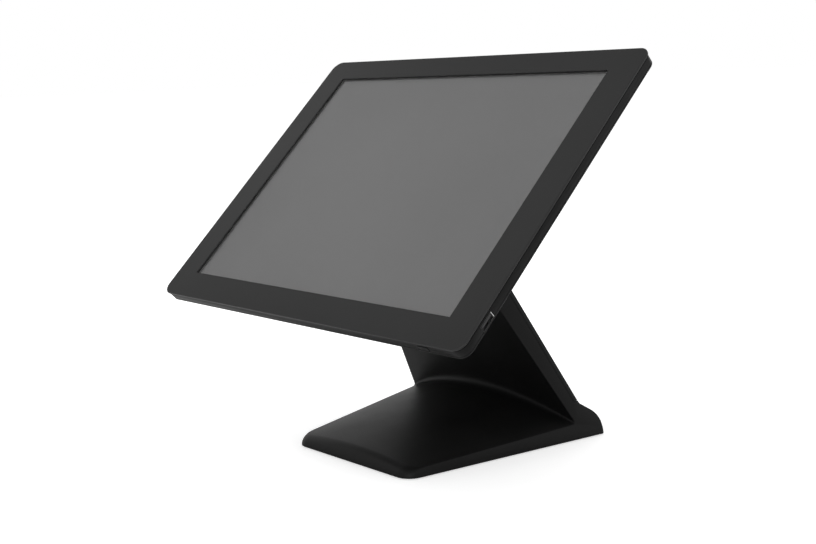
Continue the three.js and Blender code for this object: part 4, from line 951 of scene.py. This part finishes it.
def make_rear_housing():
    shell = cut(housing_skin("rear_housing_shell"), housing_room("housing_room"))
    bay = block("bay", (-BAY_HALF_WIDTH - BAY_WALL, BAY_FLOOR - BAY_WALL, GLASS_BOTTOM + 4),
                (BAY_HALF_WIDTH + BAY_WALL, HOUSING_DEPTH + 5, BAY_TOP + BAY_WALL))
    skin = housing_skin("bay_limit")
    keep_within(bay, skin)
    bosses = []
    for side in (-1, 1):
        for level in (-1, 1):
            middle = (HOUSING_SCREW_SEAT - BOSS_FLOOR + HOUSING_DEPTH) / 2
            boss = rod("boss", (side * HOUSING_SCREW_X, middle, level * HOUSING_SCREW_HEIGHT), "y",
                       BOSS_RADIUS, HOUSING_DEPTH - HOUSING_SCREW_SEAT + BOSS_FLOOR, 32)
            bosses.append(keep_within(boss, skin))
    bpy.data.objects.remove(skin)
    join_solid(shell, bay)
    for boss in bosses:
        join_solid(shell, boss)
    tools = [block("bay_inside", (-BAY_HALF_WIDTH, BAY_FLOOR, GLASS_BOTTOM - 5),
                   (BAY_HALF_WIDTH, HOUSING_DEPTH + 5, BAY_TOP), 1, 2, 4)]
    for node in ("dc_inlet", "lan_port", "usb_port_left", "usb_port_right", "video_port", "drawer_port"):
        low, high = in_head(node)
        tools.append(block("port_hole", (low.x - GAP, low.y - GAP, BAY_TOP - 1),
                           (high.x + GAP, high.y + GAP, BAY_TOP + BAY_WALL + 1)))
    for side in (-1, 1):
        for level in (-1, 1):
            x, z = side * HOUSING_SCREW_X, level * HOUSING_SCREW_HEIGHT
            tools.append(rod("screw_hole", (x, 20, z), "y", HOUSING_SCREW_HOLE_RADIUS, 24, 24))
            tools.append(rod("screw_seat", (x, HOUSING_SCREW_SEAT + 10, z), "y", HOUSING_SCREW_SEAT_RADIUS,
                             20, 32))
            x, z = side * FIXING_PITCH / 2, level * FIXING_PITCH / 2 - AXIS_BELOW_CENTRE
            tools.append(rod("fixing_hole", (x, HOUSING_DEPTH - 1, z), "y", FIXING_HOLE_RADIUS, 8, 24))
    x = -(VENT_COUNT - 1) / 2 * VENT_PITCH
    slot = block("vent", (x - VENT_HALF_WIDTH, HOUSING_DEPTH - 6, VENT_HEIGHTS[0]),
                 (x + VENT_HALF_WIDTH, HOUSING_DEPTH + 2, VENT_HEIGHTS[1]), 1, VENT_HALF_WIDTH - 0.05, 5)
    tools.append(repeated(slot, VENT_COUNT, (VENT_PITCH, 0, 0)))
    for side in (-1, 1):
        x = side * SPEAKER_X - (GRILLE_COUNT - 1) / 2 * GRILLE_PITCH
        slot = block("grille", (x - GRILLE_HALF_WIDTH, SPEAKER_BACK + 0.6, SPEAKER_Z - GRILLE_HALF_HEIGHT),
                     (x + GRILLE_HALF_WIDTH, HOUSING_DEPTH + 2, SPEAKER_Z + GRILLE_HALF_HEIGHT),
                     1, GRILLE_HALF_WIDTH - 0.05, 5)
        tools.append(repeated(slot, GRILLE_COUNT, (GRILLE_PITCH, 0, 0)))
    low, high = in_head("side_usb_port")
    tools.append(block("side_notch", (low.x - 1, low.y - 0.2, low.z - GAP),
                       (high.x + 5, high.y + 0.2, high.z + GAP)))
    cut(shell, *tools)
    settle(shell, HEAD_PLACE)
    return finish_piece(shade(shell, 35), "head", "black_plastic", "casing", "rear_housing")


def make_bay_cover():
    """The lid over the connector bay, with its cable notch."""
    lid = housing_skin("bay_lid")
    inner = [(HOUSING_PROFILE[0][0] - 1, RIM_INSET + WALL)]
    inner += [(depth - BAY_WALL, inset) for depth, inset in HOUSING_PROFILE[3:]]
    cut(lid, make_taper("lid_room", [Vector(station) for station in inner], GLASS_CORNER))
    window = block("lid_limit", (-BAY_HALF_WIDTH + GAP, BAY_FLOOR + GAP, LID_BOTTOM),
                   (BAY_HALF_WIDTH - GAP, HOUSING_DEPTH + 5, BAY_TOP - GAP), 1, 1.7, 4)
    keep_within(lid, window)
    bpy.data.objects.remove(window)
    notch = block("lid_notch", (-LID_NOTCH_HALF_WIDTH, 0, LID_BOTTOM - 20),
                  (LID_NOTCH_HALF_WIDTH, HOUSING_DEPTH + 5, LID_NOTCH_TOP), 1, 6, 8)
    cut(lid, notch)
    settle(soften(lid, 0.25), HEAD_PLACE)
    return finish_piece(shade(lid), "head", "black_plastic", "casing", "connector_cover")


# ----------------------------------------------------------------------------------------------------
# Glass, print and screen
# ----------------------------------------------------------------------------------------------------


def make_pane():
    pane = block("glass_pane", (-GLASS_HALF_WIDTH, 0, GLASS_BOTTOM),
                 (GLASS_HALF_WIDTH, GLASS_THICKNESS, GLASS_TOP), 1, GLASS_CORNER, 14)
    soften(pane, GLASS_CHAMFER, 1, 60)
    pane.data.materials.append(FINISHES["glass"])
    pane.data.materials.append(FINISHES["glass_edge"])
    for face in pane.data.polygons:
        face.material_index = 0 if abs(face.normal.y) > 0.99 else 1
    settle(pane, HEAD_PLACE)
    return finish_piece(shade(pane), "head", "touch_glass", "glass", "cover_glass")


def make_border_print():
    """The printed piece behind the pane: a dark border round a clear window."""
    front, back = (GLASS_THICKNESS + depth for depth in PRINT_DEPTHS)
    border = block("border_print", (-GLASS_HALF_WIDTH + PRINT_INSET, front, GLASS_BOTTOM + PRINT_INSET),
                   (GLASS_HALF_WIDTH - PRINT_INSET, back, GLASS_TOP - PRINT_INSET),
                   1, GLASS_CORNER - PRINT_INSET, 14)
    cut(border, block("window", (-ACTIVE_WIDTH / 2, 0, -ACTIVE_HEIGHT / 2),
                      (ACTIVE_WIDTH / 2, 5, ACTIVE_HEIGHT / 2), 1, 0.4, 3))
    settle(border, HEAD_PLACE)
    return finish_piece(border, "head", "touch_glass", "print")


# ----------------------------------------------------------------------------------------------------
# Everything together
# ----------------------------------------------------------------------------------------------------

make_stand_shell()
make_rear_housing()
make_bay_cover()
make_pane()
make_border_print()

COPIES = [
    ("front_frame", "front_frame_moulding", 0.00025, "head", "frame_plastic", "frame"),
    ("neck_rear_cover", "neck_rear_moulding", 0.0003, "stand", "black_plastic", "casing"),
    ("head_hinge_plate", "head_hinge_bracket", 0.0004, "head", "black_steel", "powder_coat"),
    ("bottom_plate", "bottom_plate_sheet", 0.0003, "stand", "black_steel", "powder_coat"),
    ("power_button", "power_button_cap", 0.0002, "power_button", "frame_plastic", "button"),
    ("side_usb_port", "side_usb_shell", 0.0, "head", "plated_steel", "tin_plate"),
]
for node, name, width, body, slot, finish in COPIES:
    finish_piece(dressed_copy(node, name, width), body, slot, finish, node)


def darken_tongue(port, node):
    """The insulating tongue between the walls of a socket is black, unlike its shell."""
    wall = 0.55
    low, high = in_head(node)
    inverse = HEAD_PLACE.inverted()
    port.data.materials.append(FINISHES["resin"])
    for face in port.data.polygons:
        middle = inverse @ face.center
        if all(low[i] + wall < middle[i] < high[i] - wall for i in (1, 2)):
            face.material_index = 1


darken_tongue(bpy.data.objects["side_usb_shell"], "side_usb_port")

NODE_FINISHES = {
    "foam": ["glass_tape"],
    "tin_plate": ["lcd_tray", "usb_port_left", "usb_port_right", "video_port", "lan_port", "drawer_port"],
    "screen": ["lcd_cell"],
    "diffuser": ["backlight"],
    "zinc_plate": ["chassis_plate", "neck_spine", "ballast_weight", "coin_cell", "hinge_shaft"]
    + [f"{word}_{side}" for word in ("hinge_nut", "friction_washers") for side in ("left", "right")]
    + [f"{word}_screw_{i}" for word in ("head", "housing", "bottom") for i in range(1, 5)]
    + ["spine_screw_1", "spine_screw_2"],
    "board": ["mainboard", "memory_module", "wireless_card", "touch_controller", "side_port_board",
              "switch_board"],
    "resin": ["processor", "solid_state_drive", "speaker_left", "speaker_right", "dc_inlet", "power_switch"],
    "aluminium": ["heat_sink"],
    "rubber": [f"foot_{i}" for i in range(1, 5)],
}
for finish, nodes in NODE_FINISHES.items():
    for node in nodes:
        mesh = frame["nodes"][node].data
        mesh.materials.clear()
        mesh.materials.append(FINISHES[finish])

# ----------------------------------------------------------------------------------------------------
# Floor and background
# ----------------------------------------------------------------------------------------------------


def seen_directly(tree):
    """One where the view or a clear pane looks straight at it; the light that falls on things stays plain."""
    path = tree.nodes.new("ShaderNodeLightPath")
    return maths(tree, "ADD", path.outputs["Is Camera Ray"], path.outputs["Is Transmission Ray"], clamp=True)


def make_floor():
    bpy.ops.object.select_all(action="DESELECT")
    bpy.ops.mesh.primitive_plane_add(size=60, location=(0, 0, 0))
    floor = bpy.context.object
    floor.name = "floor"
    material, tree, shader, place = new_finish("pale_floor")
    speckle = add_node(tree, "ShaderNodeTexNoise", None, Vector=place, Scale=140.0, Detail=3.0)
    colour = blend_colours(tree, speckle.outputs[0], grey(0.86), grey(0.88))
    tree.links.new(colour, shader.inputs["Base Color"])
    shader.inputs["Roughness"].default_value = 0.9
    shader.inputs["Specular IOR Level"].default_value = 0.0
    shader.inputs["Emission Color"].default_value = grey(1.0)
    seen = seen_directly(tree)
    tree.links.new(maths(tree, "MULTIPLY", seen, 0.5), shader.inputs["Emission Strength"])
    floor.data.materials.append(material)


def make_world():
    world = bpy.data.worlds.new("studio")
    world.use_nodes = True
    bpy.context.scene.world = world
    tree = world.node_tree
    seen = seen_directly(tree)
    background = tree.nodes["Background"]
    background.inputs["Color"].default_value = (1, 1, 1, 1)
    tree.links.new(spread(tree, seen, 0.0, 1.0, 0.75, 1.0), background.inputs["Strength"])


make_floor()
make_world()
bpy.context.scene.view_settings.view_transform = "Standard"
